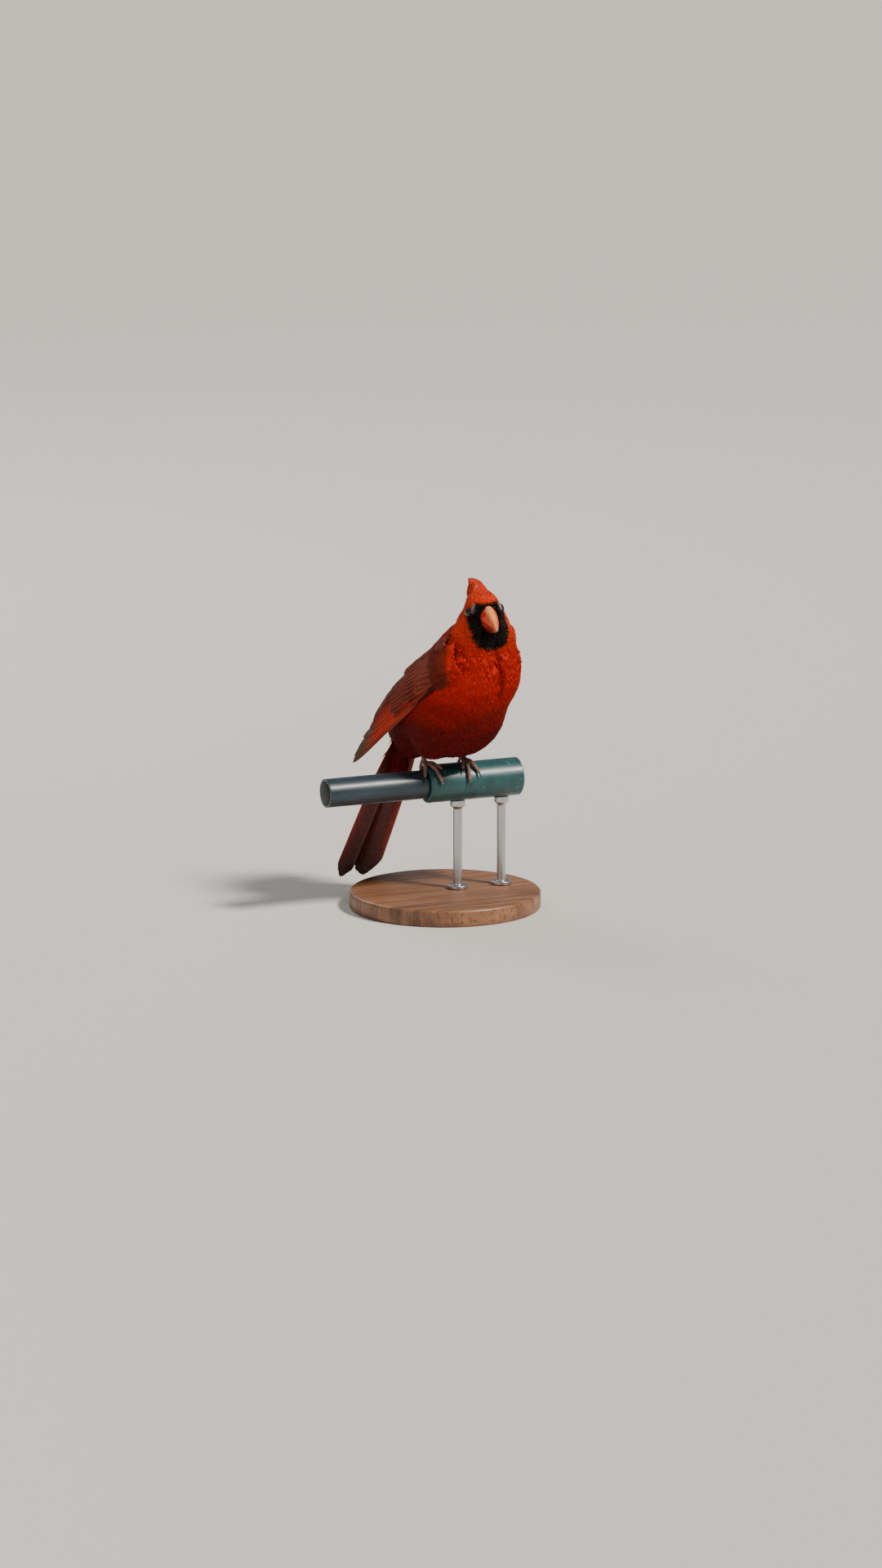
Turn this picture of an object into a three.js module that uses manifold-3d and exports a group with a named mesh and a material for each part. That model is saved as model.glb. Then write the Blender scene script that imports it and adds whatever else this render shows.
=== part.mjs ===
// A male northern cardinal at life size, still, gripping a short cut length of tube with a plastic
// sleeve on it, held by a plain display stand: a round base and two short rods.
// Millimetres, +Z up. The origin is the centre of the base's underside, and the perch runs along X.
// The bird is built in its own frame: X ahead, Y to its left, Z up, with the perch axis at its origin.
import * as THREE from "three";
import { mergeVertices } from "three/addons/utils/BufferGeometryUtils.js";
import Module from "manifold-3d";

const wasm = await Module();
wasm.setup();

// Clearances
const GAP = 0.3; // between pieces that touch
const VANE = 0.62; // thickness of a feather vane

// Perch and stand
const TUBE_R = 8.4;
const SLEEVE_R = 11.2;
const PERCH_LEFT = -76;
const SLEEVE_LEFT = -13;
const PERCH_RIGHT = 46;
const PLUG_R = 6.6;
const PLUG_DOME = 1.2;
const SLEEVE_PLUG_R = 8.8;
const BASE_R = 56;
const BASE_H = 10;
const BASE_EDGE = 1.6;
const ROD_R = 2.6;
const SADDLE_R = 4.4;
const SADDLE_H = 5;
const FLANGE_R = 6;
const FLANGE_H = 2;
const ROD_X = [8, 36];
const PERCH_HEIGHT = 74; // axis of the perch above the floor

// How the bird sits
const HEADING = THREE.MathUtils.degToRad(-67); // its forward direction, from +X
const HEAD_AT = [31, 0.5, 105.5]; // midpoint between the eyes
const HEAD_YAW = THREE.MathUtils.degToRad(-32);
const HEAD_PITCH = THREE.MathUtils.degToRad(4);
const HEAD_ROLL = THREE.MathUtils.degToRad(5);

// Head
const EYE_R = 3.3;
const EYE_BULGE = 1.3; // how far the eye stands out of the face
const LID_RING_R = 2.95;
const LID_R = 0.6;
const BILL_ROOT = 5.5; // ahead of the eyes, sunk in the face
const BILL_LENGTH = 19.5; // from there to the tip
const LOWER_BILL_LENGTH = 16.8;

// Wing and tail
const WRIST = [21, 28.2, 67]; // ahead, to the side, up
const WING_TIP = [-55, 21, 6];
const WING_R = 27; // how the folded wing curves over the back
const TAIL_ROOT = [-30, 0, 31];
const TAIL_PITCH = THREE.MathUtils.degToRad(69);
const TAIL_SWING = THREE.MathUtils.degToRad(6); // to the bird's right
const TAIL_LENGTH = 102;
const TAIL_HALF_WIDTH = 20.5;

const V = (x, y, z) => new THREE.Vector3(x, y, z);
const lerp = THREE.MathUtils.lerp;
const rad = THREE.MathUtils.degToRad;
const smooth = THREE.MathUtils.smoothstep;

// Solids: three.js geometry to and from manifold-3d, for the cuts and joins.
function solidOf(geometry) {
  const g = geometry.clone();
  for (const name of ["normal", "uv"]) g.deleteAttribute(name);
  const merged = mergeVertices(g, 1e-4);
  const make = (triVerts) =>
    new wasm.Manifold(
      new wasm.Mesh({ numProp: 3, vertProperties: merged.attributes.position.array, triVerts }),
    );
  const triangles = new Uint32Array(merged.index.array);
  const made = make(triangles);
  if (made.volume() > 0) return made;
  for (let i = 0; i < triangles.length; i += 3) {
    [triangles[i + 1], triangles[i + 2]] = [triangles[i + 2], triangles[i + 1]];
  }
  return make(triangles);
}

function largest(solid) {
  return solid.decompose().reduce((a, b) => (b.volume() > a.volume() ? b : a));
}

function geometryOf(solid) {
  const mesh = largest(solid).getMesh();
  const g = new THREE.BufferGeometry();
  g.setAttribute("position", new THREE.BufferAttribute(new Float32Array(mesh.vertProperties), 3));
  g.setIndex(new THREE.BufferAttribute(new Uint32Array(mesh.triVerts), 1));
  g.computeVertexNormals();
  return g;
}

function joined(solids) {
  return solids.reduce((a, b) => a.add(b));
}

// A closed skin over rings of points, with a fan at each end. All rings have the same count.
function loft(rings) {
  const n = rings[0].length;
  const points = rings.flat();
  const faces = [];
  for (let i = 0; i + 1 < rings.length; i++) {
    for (let j = 0; j < n; j++) {
      const [a, b] = [i * n + j, i * n + ((j + 1) % n)];
      faces.push(a, b, b + n, a, b + n, a + n);
    }
  }
  for (const end of [0, rings.length - 1]) {
    const middle = points.length;
    points.push(rings[end].reduce((s, p) => s.add(p), V(0, 0, 0)).divideScalar(n));
    for (let j = 0; j < n; j++) {
      const [a, b] = [end * n + j, end * n + ((j + 1) % n)];
      faces.push(...(end ? [a, b, middle] : [b, a, middle]));
    }
  }
  const g = new THREE.BufferGeometry();
  const flat = points.flatMap((p) => [p.x, p.y, p.z]);
  g.setAttribute("position", new THREE.Float32BufferAttribute(flat, 3));
  g.setIndex(faces);
  return g;
}

// A round tube of changing radius along a curve.
function limb(curve, radiusAt, rings, sides) {
  const frames = curve.computeFrenetFrames(rings, false);
  return loft(
    Array.from({ length: rings + 1 }, (_, i) => {
      const t = i / rings;
      const centre = curve.getPointAt(t);
      return Array.from({ length: sides }, (_, j) => {
        const a = (2 * Math.PI * j) / sides;
        return centre
          .clone()
          .addScaledVector(frames.normals[i], radiusAt(t) * Math.cos(a))
          .addScaledVector(frames.binormals[i], radiusAt(t) * Math.sin(a));
      });
    }),
  );
}

function frameOf(at, yaw, pitch, roll) {
  return new THREE.Matrix4()
    .makeRotationFromEuler(new THREE.Euler(roll, pitch, yaw, "ZYX"))
    .setPosition(...at);
}

const BIRD = frameOf([0, 0, PERCH_HEIGHT], HEADING, 0, 0);
const HEAD = frameOf(HEAD_AT, HEAD_YAW, HEAD_PITCH, HEAD_ROLL);

// The plumage outline is a smooth blend of egg-shaped masses. Each has a centre, three half-sizes
// (ahead, sideways, up) and a pitch; the head's own are placed in the head's frame.
const BLEND = 2.6;
const TRUNK_MASSES = [
  { name: "breast", at: [20, 1.8, 67], half: [30, 28, 26.5], pitch: -50 },
  { name: "belly", at: [7, 1.2, 46], half: [29.5, 28.5, 29], pitch: -45 },
  { name: "back", at: [-7, 0, 52], half: [36, 24.5, 19.5], pitch: -47 },
  { name: "rump", at: [-26, 0, 34], half: [17, 13, 11], pitch: -52 },
  { name: "vent", at: [-21, 0, 26], half: [17, 14.5, 11], pitch: -50 },
  { name: "left thigh", at: [2, 14, 30], half: [12, 9, 13], pitch: 0 },
  { name: "right thigh", at: [2, -14, 30], half: [12, 9, 13], pitch: 0 },
  { name: "ruff", at: [25.5, 1.6, 87.5], half: [20.5, 21, 13.5], pitch: -20 },
];
const HEAD_MASSES = [
  { name: "skull", at: [-3.5, 0, 0.6], half: [11.5, 7.8, 8.6], pitch: 0 },
  { name: "crown", at: [-6.5, 0, 3.6], half: [10.5, 6.8, 5.2], pitch: 12 },
  { name: "left cheek", at: [-8, 6, -7.5], half: [8.5, 6.8, 7.5], pitch: 0 },
  { name: "right cheek", at: [-8, -6, -7.5], half: [8.5, 6.8, 7.5], pitch: 0 },
  { name: "chin", at: [3, 0, -10], half: [5.5, 6, 5.5], pitch: 0 },
  { name: "lores", at: [3.8, 0, -2], half: [4.5, 5.8, 6.5], pitch: 0 },
];

function massField(masses, frame) {
  return masses.map(({ at, half, pitch }) => ({
    inverse: frame.clone().multiply(frameOf(at, 0, rad(pitch), 0)).invert(),
    half,
  }));
}

const IDENTITY = new THREE.Matrix4();
const TRUNK_FIELD = massField(TRUNK_MASSES, IDENTITY);
const HEAD_FIELD = massField(HEAD_MASSES, HEAD);
const WHOLE_FIELD = [...TRUNK_FIELD, ...HEAD_FIELD];

// Roughly the distance from a point to the blended outline, negative inside.
function depthOf(p, field) {
  let sum = 0;
  for (const { inverse, half } of field) {
    const q = p.clone().applyMatrix4(inverse);
    const [x, y, z] = [q.x / half[0], q.y / half[1], q.z / half[2]];
    const near = Math.hypot(x, y, z);
    const slope = Math.hypot(x / half[0], y / half[1], z / half[2]);
    sum += Math.exp((-near * (near - 1)) / (slope * BLEND));
  }
  return -BLEND * Math.log(sum);
}

// How far along a ray the outline lies, by halving.
const REACH = 60;
function reach(from, direction, field, grown) {
  let [low, high] = [0, REACH];
  for (let i = 0; i < 26; i++) {
    const middle = (low + high) / 2;
    if (depthOf(from.clone().addScaledVector(direction, middle), field) < grown) low = middle;
    else high = middle;
  }
  return low;
}

// The line inside the body that its rings are set around, from the rump to the crown.
const SPINE = new THREE.CatmullRomCurve3(
  [
    V(-46, 0, 18),
    V(-24, 0, 33),
    V(0, 0, 51),
    V(15, 0, 71),
    V(24, 0.2, 89),
    V(27.5, 0.5, 105),
    V(26, 0.5, 128),
  ],
  false,
  "centripetal",
);

function spineEnd(from, to, grown) {
  let [inside, outside] = [from, to];
  for (let i = 0; i < 26; i++) {
    const middle = (inside + outside) / 2;
    if (depthOf(SPINE.getPointAt(middle), WHOLE_FIELD) < grown) inside = middle;
    else outside = middle;
  }
  return inside;
}

function spineFrame(t) {
  const along = SPINE.getTangentAt(t).normalize();
  const left = V(0, 1, 0).addScaledVector(along, -along.y).normalize();
  return { centre: SPINE.getPointAt(t), along, left, back: along.clone().cross(left) };
}

function bodySolid(grown, ringCount, sides) {
  const [first, last] = [spineEnd(0.5, 0, grown), spineEnd(0.5, 1, grown)];
  const rings = [];
  for (let i = 0; i <= ringCount; i++) {
    const share = (1 - Math.cos((Math.PI * (i + 0.35)) / (ringCount + 0.7))) / 2;
    const { centre, left, back } = spineFrame(lerp(first, last, share));
    rings.push(
      Array.from({ length: sides }, (_, j) => {
        const a = (2 * Math.PI * (j + 0.5)) / sides;
        const out = left.clone().multiplyScalar(Math.cos(a)).addScaledVector(back, Math.sin(a));
        return centre.clone().addScaledVector(out, reach(centre, out, WHOLE_FIELD, grown));
      }),
    );
  }
  return solidOf(loft(rings));
}

// A thin slab for parting the body, across a frame's Z axis.
function slab(frame) {
  return solidOf(new THREE.BoxGeometry(200, 200, GAP).applyMatrix4(frame));
}

const NECK_CUT = 0.6; // shares of the spine's length
const HEAD_CUT = 0.735;
function spineSlab(t) {
  const { centre, along, left } = spineFrame(t);
  const frame = new THREE.Matrix4().makeBasis(left, along.clone().cross(left), along);
  return slab(frame.setPosition(centre));
}

// Splits a solid at a slab into the piece below and the piece above it, along the spine there.
function parted(solid, cutter, along) {
  const height = (s) => {
    const { min, max } = s.boundingBox();
    return V(...min).add(V(...max)).dot(along);
  };
  const pieces = solid
    .subtract(cutter)
    .decompose()
    .sort((a, b) => b.volume() - a.volume())
    .slice(0, 2);
  return pieces.sort((a, b) => height(a) - height(b));
}

// A flat feather on a surface: a box-sectioned blade from a root to a tip, wide in the middle.
// place(x, y, h) turns surface coordinates and a height into a point; lean tips the blade sideways,
// so that each lies on its neighbour like a shingle.
function blade(place, shape) {
  const { root, tip, width, rise, lean = 0, steps = 5 } = shape;
  const { tipShare = 0.3, bend = 0, thick = VANE, lift = 0 } = shape;
  const [dx, dy] = [tip[0] - root[0], tip[1] - root[1]];
  const length = Math.hypot(dx, dy);
  const [nx, ny] = [-dy / length, dx / length];
  const rings = [];
  for (let i = 0; i <= steps; i++) {
    const t = i / steps;
    const swell = lerp(0.62, 1, Math.sin(Math.min(1, t * 1.5) * (Math.PI / 2)));
    const half = (width / 2) * (i === steps ? tipShare : swell);
    const sway = bend * Math.sin(Math.PI * t);
    const at = (side, h) =>
      place(
        root[0] + dx * t + nx * (side * half + sway),
        root[1] + dy * t + ny * (side * half + sway),
        rise + lift * t * t - lean * side * half + h,
      );
    rings.push([at(-1, 0), at(1, 0), at(1, -thick), at(-1, -thick)]);
  }
  return solidOf(loft(rings));
}

// A curved plate with a changing outline, from one surface height to another.
function plate(place, { from, to, low, high, top, bottom, along = 8, across = 5 }) {
  const rings = [];
  for (let i = 0; i <= along; i++) {
    const t = i / along;
    const x = lerp(from, to, t);
    const row = (height) =>
      Array.from({ length: across + 1 }, (_, j) => {
        const s = j / across;
        const edge = 1 - Math.pow(Math.abs(2 * s - 1), 4) * 0.6;
        return place(x, lerp(low(t), high(t), s), height(t) * edge);
      });
    rings.push([...row(top), ...row(bottom).reverse()]);
  }
  return solidOf(loft(rings));
}

// Head details
function headPoint(x, y, z) {
  return V(x, y, z).applyMatrix4(HEAD);
}

// Each eye sits in the side of the face, just standing out of it.
function eyeCentre(side) {
  const origin = headPoint(0, 0, 0);
  const outward = headPoint(0, side, 0).sub(origin);
  return V(0, side * (reach(origin, outward, WHOLE_FIELD, 0) + EYE_BULGE - EYE_R), 0);
}

function eyeball(side, grown) {
  const g = new THREE.SphereGeometry(EYE_R + grown, 14, 10);
  const centre = eyeCentre(side);
  return solidOf(g.translate(centre.x, centre.y, centre.z).applyMatrix4(HEAD));
}

// A ring of bare skin round the eye.
function lids(side) {
  const out = V(0.3, side, 0.05).normalize();
  const g = new THREE.TorusGeometry(LID_RING_R, LID_R, 5, 14);
  g.applyQuaternion(new THREE.Quaternion().setFromUnitVectors(V(0, 0, 1), out));
  const centre = eyeCentre(side).addScaledVector(out, EYE_R - EYE_BULGE + 0.25);
  return solidOf(g.translate(centre.x, centre.y, centre.z).applyMatrix4(HEAD));
}

// The bill: a deep cone with a curved ridge, parted along the line of the mouth, which dips at
// the corner and again at the tip.
const mouthAt = (u) => -3.7 - 2.3 * u * u - 2.2 * Math.pow(Math.max(0, 1 - u / 0.42), 2);
const ridgeAt = (u) => 4.9 - 10.9 * Math.pow(u, 1.75);
const keelAt = (u) => -11.3 + 4.7 * Math.pow(u, 1.5);
const upperHalfWidth = (u) => 5.8 * Math.pow(1 - u, 0.72);
const lowerHalfWidth = (u) => 6.4 * Math.pow(1 - u, 0.64);

function billHalf(length, halfWidth, outer, mouth) {
  const steps = 9;
  const arc = 10;
  return solidOf(
    loft(
      Array.from({ length: steps + 1 }, (_, i) => {
        const share = Math.min(i / steps, 0.985);
        const u = 1 - Math.pow(1 - share, 1.35);
        const x = BILL_ROOT + length * u;
        const across = Math.max(halfWidth(u), 0.28);
        const deep = outer(u) - mouth(u);
        const height = Math.sign(deep) * Math.max(Math.abs(deep), 0.35);
        const ring = Array.from({ length: arc + 1 }, (_, j) => {
          const a = (Math.PI * j) / arc;
          return headPoint(x, across * Math.cos(a), mouth(u) + height * Math.sin(a));
        });
        for (const share of [-0.4, 0.4]) {
          ring.push(headPoint(x, across * share, mouth(u) + height * 0.04));
        }
        return ring;
      }),
    ),
  );
}

function nostril(side) {
  const g = new THREE.SphereGeometry(0.85, 8, 6).scale(1.4, 0.8, 1);
  const u = 0.3;
  const centre = V(BILL_ROOT + BILL_LENGTH * u, side * upperHalfWidth(u) * 0.66, 1.4);
  return solidOf(g.translate(centre.x, centre.y, centre.z).applyMatrix4(HEAD));
}

// The crest: rows of pointed feathers over the crown, swept back and up from the forehead to a
// peak behind. Its ridge is a curve in the head's frame, and each feather starts on the crown
// beside it and ends near it, farther back.
const RIDGE = new THREE.CatmullRomCurve3([
  V(9, 0, 3.6),
  V(2, 0, 9.4),
  V(-8, 0, 13.2),
  V(-16, -0.4, 15),
  V(-23.5, -1, 16.2),
]);
const CREST_ROWS = 5;
const CREST_SIDE = 5.4; // half-width of the crown that carries it
function crestFeathers() {
  const made = [];
  for (let row = 0; row < CREST_ROWS; row++) {
    const back = row / (CREST_ROWS - 1);
    const count = 4 - (row % 2);
    for (let k = 0; k < count; k++) {
      const side = (2 * k) / (count - 1) - 1;
      const foot = RIDGE.getPointAt(0.06 + 0.52 * back);
      const drop = 1.6 + (2.2 + 2.4 * back) * side * side;
      foot.add(V(-3 * side * side, side * CREST_SIDE * (0.75 + 0.25 * back), -drop));
      const tip = RIDGE.getPointAt(Math.min(1, 0.46 + 0.54 * back));
      const apart = Math.abs(side);
      tip.add(V(2.2 * apart * back, side * lerp(4, 1.7, back), -(1.1 + 2 * back) * apart));
      const middle = foot.clone().lerp(tip, 0.5).add(V(0, side * 0.8, 1.3 - 0.5 * Math.abs(side)));
      const curve = new THREE.QuadraticBezierCurve3(foot, middle, tip);
      made.push(crestFeather(curve, lerp(4.4, 5.2, back), side));
    }
  }
  return made;
}

// A pointed blade along a curve, facing out from the ridge.
function crestFeather(curve, width, side) {
  const steps = 3;
  const rings = [];
  for (let i = 0; i <= steps; i++) {
    const t = i / steps;
    const at = curve.getPoint(t);
    const along = curve.getTangent(t).normalize();
    const across = V(0.15, side * 0.75, 1).cross(along).normalize();
    const up = along.clone().cross(across).normalize();
    const half = (width / 2) * (i === steps ? 0.09 : Math.sqrt(1 - Math.pow(t, 2.2)));
    const deep = lerp(1.4, 0.45, t);
    const corner = (a, b) =>
      at.clone().addScaledVector(across, a * half).addScaledVector(up, b * deep).applyMatrix4(HEAD);
    rings.push([corner(-1, -0.3), corner(0, 0), corner(1, -0.3), corner(0, -1)]);
  }
  return solidOf(loft(rings));
}

// The close-packed lower halves of those feathers, as one wedge under them.
function crestWedge() {
  const steps = 5;
  const sides = 10;
  return solidOf(
    loft(
      Array.from({ length: steps + 1 }, (_, i) => {
        const t = i / steps;
        const centre = V(lerp(-2, -20.5, t), -0.7 * t, lerp(4.5, 14.8, Math.pow(t, 0.85)));
        const [high, wide] = [lerp(6.2, 0.8, Math.pow(t, 0.9)), lerp(6.6, 0.7, t)];
        return Array.from({ length: sides }, (_, j) => {
          const a = (2 * Math.PI * j) / sides;
          const [rise, aside] = [high * Math.sin(a), wide * Math.cos(a)];
          return headPoint(centre.x + 0.45 * rise, centre.y + aside, centre.z + 0.9 * rise);
        });
      }),
    ),
  );
}

// Wings. A folded wing is a sheet that lies along the flank and curves over the back: x runs from
// the wrist to the tip, y from the leading edge up over the back, and h is the height off it.
function wingSheet(side) {
  const wrist = V(WRIST[0], side * WRIST[1], WRIST[2]);
  const tip = V(WING_TIP[0], side * WING_TIP[1], WING_TIP[2]);
  const along = tip.clone().sub(wrist).normalize();
  const out = V(-0.05, side, 0.16);
  out.addScaledVector(along, -out.dot(along)).normalize();
  const up = along.clone().cross(out).multiplyScalar(-side);
  return (x, y, h) => {
    const r = WING_R + 0.12 * Math.max(0, x);
    const bow = 2.6 * Math.sin(Math.PI * Math.min(1, Math.max(0, x / 95)));
    return wrist
      .clone()
      .addScaledVector(along, x)
      .addScaledVector(up, (r + h) * Math.sin(y / r))
      .addScaledVector(out, (r + h) * Math.cos(y / r) - r + bow);
  };
}

// How high up the sheet its inner edge runs, at places along it.
const INNER_EDGE = [
  [-9, 9],
  [4, 25],
  [26, 25],
  [44, 19.5],
  [58, 13.6],
  [70, 8.6],
  [84, 4.8],
  [98, 1.6],
];
function innerEdge(x) {
  const i = Math.max(1, INNER_EDGE.findIndex(([at]) => at >= x));
  const [[x0, y0], [x1, y1]] = [INNER_EDGE[i - 1], INNER_EDGE[i]];
  return lerp(y0, y1, THREE.MathUtils.clamp((x - x0) / (x1 - x0), 0, 1));
}

const PRIMARIES = 7;
const SECONDARIES = 5;
const TERTIALS = 3;
const GREATER_COVERTS = 5;
const MEDIAN_COVERTS = 4;
const PRIMARY_COVERTS = 2;
const SHINGLE = 0.15; // sideways tip of each feather

function wingFeathers(side) {
  const place = wingSheet(side);
  const row = (count, make) =>
    Array.from({ length: count }, (_, i) =>
      blade(place, { lean: SHINGLE, ...make(i / Math.max(1, count - 1), i) }),
    );
  return [
    ...row(PRIMARIES, (s, i) => ({
      root: [14 + 10 * s, -0.4 + 6 * s],
      tip: [96.5 - 26 * s + 3 * Math.sin(Math.PI * s), 0.4 + 8 * s],
      width: 5.2,
      rise: 0.5 + 0.06 * i,
      steps: 5,
      tipShare: 0.3,
      bend: -0.8 * (1 - s),
    })),
    ...row(SECONDARIES, (s, i) => ({
      root: [26 + 4 * s, 6.5 + 9 * s],
      tip: [68.5 - 12 * s, 8 + 7 * s],
      width: 5.6,
      rise: 0.95 + 0.06 * i,
      steps: 4,
      tipShare: 0.45,
    })),
    ...row(TERTIALS, (s, i) => ({
      root: [28 - 6 * s, 16.5 + 5.5 * s],
      tip: [60 - 13 * s, 13.2 + 5 * s],
      width: 7.2,
      rise: 1.35 + 0.1 * i,
      steps: 4,
      tipShare: 0.4,
    })),
    ...row(PRIMARY_COVERTS, (s) => ({
      root: [8 + s, 1.2 + 2 * s],
      tip: [40 + 3 * s, 2 + 2.2 * s],
      width: 4.6,
      rise: 1.2 + 0.1 * s,
      steps: 3,
      tipShare: 0.3,
    })),
    ...row(GREATER_COVERTS, (s, i) => ({
      root: [21 - 3 * s, 4.6 + 16 * s],
      tip: [45 - 7 * s, 5.4 + 14.4 * s],
      width: 6.4,
      rise: 1.7 + 0.03 * i,
      steps: 3,
      tipShare: 0.45,
    })),
    ...row(MEDIAN_COVERTS, (s, i) => ({
      root: [11 - 3 * s, 3.6 + 17 * s],
      tip: [31 - 5 * s, 4.6 + 17 * s],
      width: 7.4,
      rise: 2.2 + 0.03 * i,
      steps: 3,
      tipShare: 0.4,
    })),
  ];
}

// The flesh of the wing under its feathers, thickest at the shoulder.
function wingCore(side) {
  const [from, to] = [-9, 72];
  return plate(wingSheet(side), {
    from,
    to,
    low: (t) => lerp(5, -2.4, smooth(t, 0, 0.16)) + 4 * smooth(t, 0.4, 1),
    high: (t) => innerEdge(lerp(from, to, t)) - 0.8,
    top: (t) => 0.3 + 1.7 * smooth(t, 0, 0.14) * (1 - smooth(t, 0.2, 0.62)),
    bottom: (t) => -6 + 5.2 * smooth(t, 0.2, 0.9),
    along: 8,
    across: 4,
  });
}

// Tail: twelve long feathers in two stacks, the middle pair on top, fanned a little, with short
// coverts over and under their roots.
const TAIL_PAIRS = 6;
function tailPlace(along, aside, h) {
  const x = along * Math.cos(TAIL_SWING) + aside * Math.sin(TAIL_SWING);
  const y = aside * Math.cos(TAIL_SWING) - along * Math.sin(TAIL_SWING);
  const [c, s] = [Math.cos(TAIL_PITCH), Math.sin(TAIL_PITCH)];
  return V(TAIL_ROOT[0] - c * x - s * h, y, TAIL_ROOT[2] - s * x + c * h);
}

const TAIL_VANE_WIDTH = 12.4;
const TAIL_STEP = VANE + 0.33;
function tailFeathers() {
  const made = [];
  const inner = TAIL_VANE_WIDTH / 2 + 0.2;
  for (const side of [-1, 1]) {
    for (let i = 0; i < TAIL_PAIRS; i++) {
      const s = i / (TAIL_PAIRS - 1);
      made.push(tailFeather(side, i, lerp(inner, TAIL_HALF_WIDTH - TAIL_VANE_WIDTH / 2, s)));
    }
  }
  return made;
}

const TAIL_STATIONS = [[0, 1], [0.25, 1], [0.5, 1], [0.75, 1], [0.93, 1], [0.985, 0.86], [1, 0.45]];
function tailFeather(side, i, tipSide) {
  const length = TAIL_LENGTH - [2.6, 0, 0, 1, 2.6, 5][i];
  const rootSide = 1.6 + i;
  const drop = i * TAIL_STEP;
  const rings = TAIL_STATIONS.map(([t, ending]) => {
    const middle = lerp(rootSide, tipSide, Math.pow(t, 0.5));
    const half = (TAIL_VANE_WIDTH / 2) * lerp(0.5, 1, smooth(t, 0, 0.5)) * ending;
    const at = (y, h) => tailPlace(length * t, side * y, h - drop);
    const [a, b, c] = [middle - Math.min(half, middle - 0.2), middle, middle + half * 0.94];
    const under = -0.15 - VANE;
    return [at(a, -0.15), at(b, 0), at(c, -0.15), at(c, under), at(b, -VANE), at(a, under)];
  });
  return solidOf(loft(rings));
}

function tailCoverts() {
  const made = [];
  const rows = [
    { above: 1, count: 4, length: 24, spread: 6.6, rise: 2.2, reachIn: -2 },
    { above: -1, count: 4, length: 34, spread: 7, rise: 6.6, reachIn: -2 },
    { above: -1, count: 3, length: 24, spread: 5, rise: 8, reachIn: -2 },
  ];
  for (const { above, count, length, spread, rise, reachIn } of rows) {
    for (let k = 0; k < count; k++) {
      const side = (2 * k) / (count - 1) - 1;
      const place = (x, y, h) => tailPlace(x, y, above * (h - 0.02 * y * y) + (above < 0 ? -0.2 : 0));
      made.push(
        blade(place, {
          root: [reachIn, side * spread * 0.7],
          tip: [length - 5 * Math.abs(side), side * spread],
          width: 6.4,
          rise,
          lift: -1.6,
          thick: 1,
          steps: 3,
          tipShare: 0.25,
        }),
      );
    }
  }
  return made;
}

function tailRoot() {
  const g = new THREE.SphereGeometry(1, 16, 10).scale(17, 7.6, 5.6);
  g.rotateY(-TAIL_PITCH);
  const centre = tailPlace(2, 0, -3);
  return solidOf(g.translate(centre.x, centre.y, centre.z));
}

// Legs and feet, in the perch's frame: x along the perch, a the angle round it from the top
// towards the front. Toes lie on the perch's own surface, tube or sleeve.
const TOE_R = 1.15;
const TARSUS_R = 1.25;
const PAD_R = 1.9;
function perchRadius(x) {
  return lerp(TUBE_R, SLEEVE_R, smooth(x, SLEEVE_LEFT - 2.6, SLEEVE_LEFT - 0.9));
}

function onPerch(x, angle, lift) {
  const r = perchRadius(x) + GAP + 0.05 + lift;
  return V(x, -r * Math.sin(angle), PERCH_HEIGHT + r * Math.cos(angle));
}

// Each toe: how far it runs along the perch and round it, from the pad. Digits 1 to 4.
const FEET = {
  right: {
    x: -13.4,
    angle: 2,
    lean: [-1, 7],
    toes: [
      [2.5, -62, 4.4],
      [8.2, 36, 3.4],
      [6.2, 74, 4.4],
      [-2.8, 52, 3.6],
    ],
  },
  left: {
    x: 11.5,
    angle: 2,
    lean: [1.5, 7],
    toes: [
      [1.5, -62, 4.4],
      [-4, 42, 3.4],
      [-1.2, 76, 4.4],
      [5.2, 54, 3.6],
    ],
  },
};

function toeCurve({ x, angle }, [dx, turn]) {
  const points = [];
  for (let i = 0; i <= 6; i++) {
    const t = i / 6;
    const arch = 0.9 * Math.sin(Math.PI * Math.min(1, t * 1.15)) ** 2;
    const lift = TOE_R + arch * 0.6 + 0.5 * (1 - t);
    points.push(onPerch(x + dx * Math.pow(t, 0.8), rad(angle + turn * t), lift));
  }
  return new THREE.CatmullRomCurve3(points, false, "centripetal");
}

function toe(foot, spec) {
  const knuckles = (t) => TOE_R * (1 - 0.26 * t) * (1 + 0.1 * Math.cos(t * Math.PI * 5));
  return solidOf(limb(toeCurve(foot, spec), knuckles, 7, 6));
}

// A claw goes on from its toe, hooks down towards the perch and ends in a point.
function claw(foot, [dx, turn, length]) {
  const side = Math.sign(turn);
  const points = [];
  for (let i = 0; i <= 4; i++) {
    const t = i / 4;
    const away = ((GAP + 0.1 + length * t) / (perchRadius(foot.x + dx) + 2)) * side;
    const lift = TOE_R * 0.8 + 1.25 * Math.sin(Math.PI * Math.min(1, t * 0.95)) - 0.55 * t;
    points.push(onPerch(foot.x + dx * (1 + 0.12 * t), rad(foot.angle + turn) + away, lift));
  }
  const curve = new THREE.CatmullRomCurve3(points, false, "centripetal");
  return solidOf(limb(curve, (t) => lerp(0.78, 0.16, Math.pow(t, 0.8)), 5, 6));
}

function pad(foot) {
  const centre = onPerch(foot.x, rad(foot.angle), PAD_R + 0.05);
  return solidOf(new THREE.SphereGeometry(PAD_R, 10, 7).translate(centre.x, centre.y, centre.z));
}

function padCut(foot) {
  const centre = onPerch(foot.x, rad(foot.angle), PAD_R + 0.05);
  return solidOf(new THREE.SphereGeometry(PAD_R + GAP, 10, 7).translate(centre.x, centre.y, centre.z));
}

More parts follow.
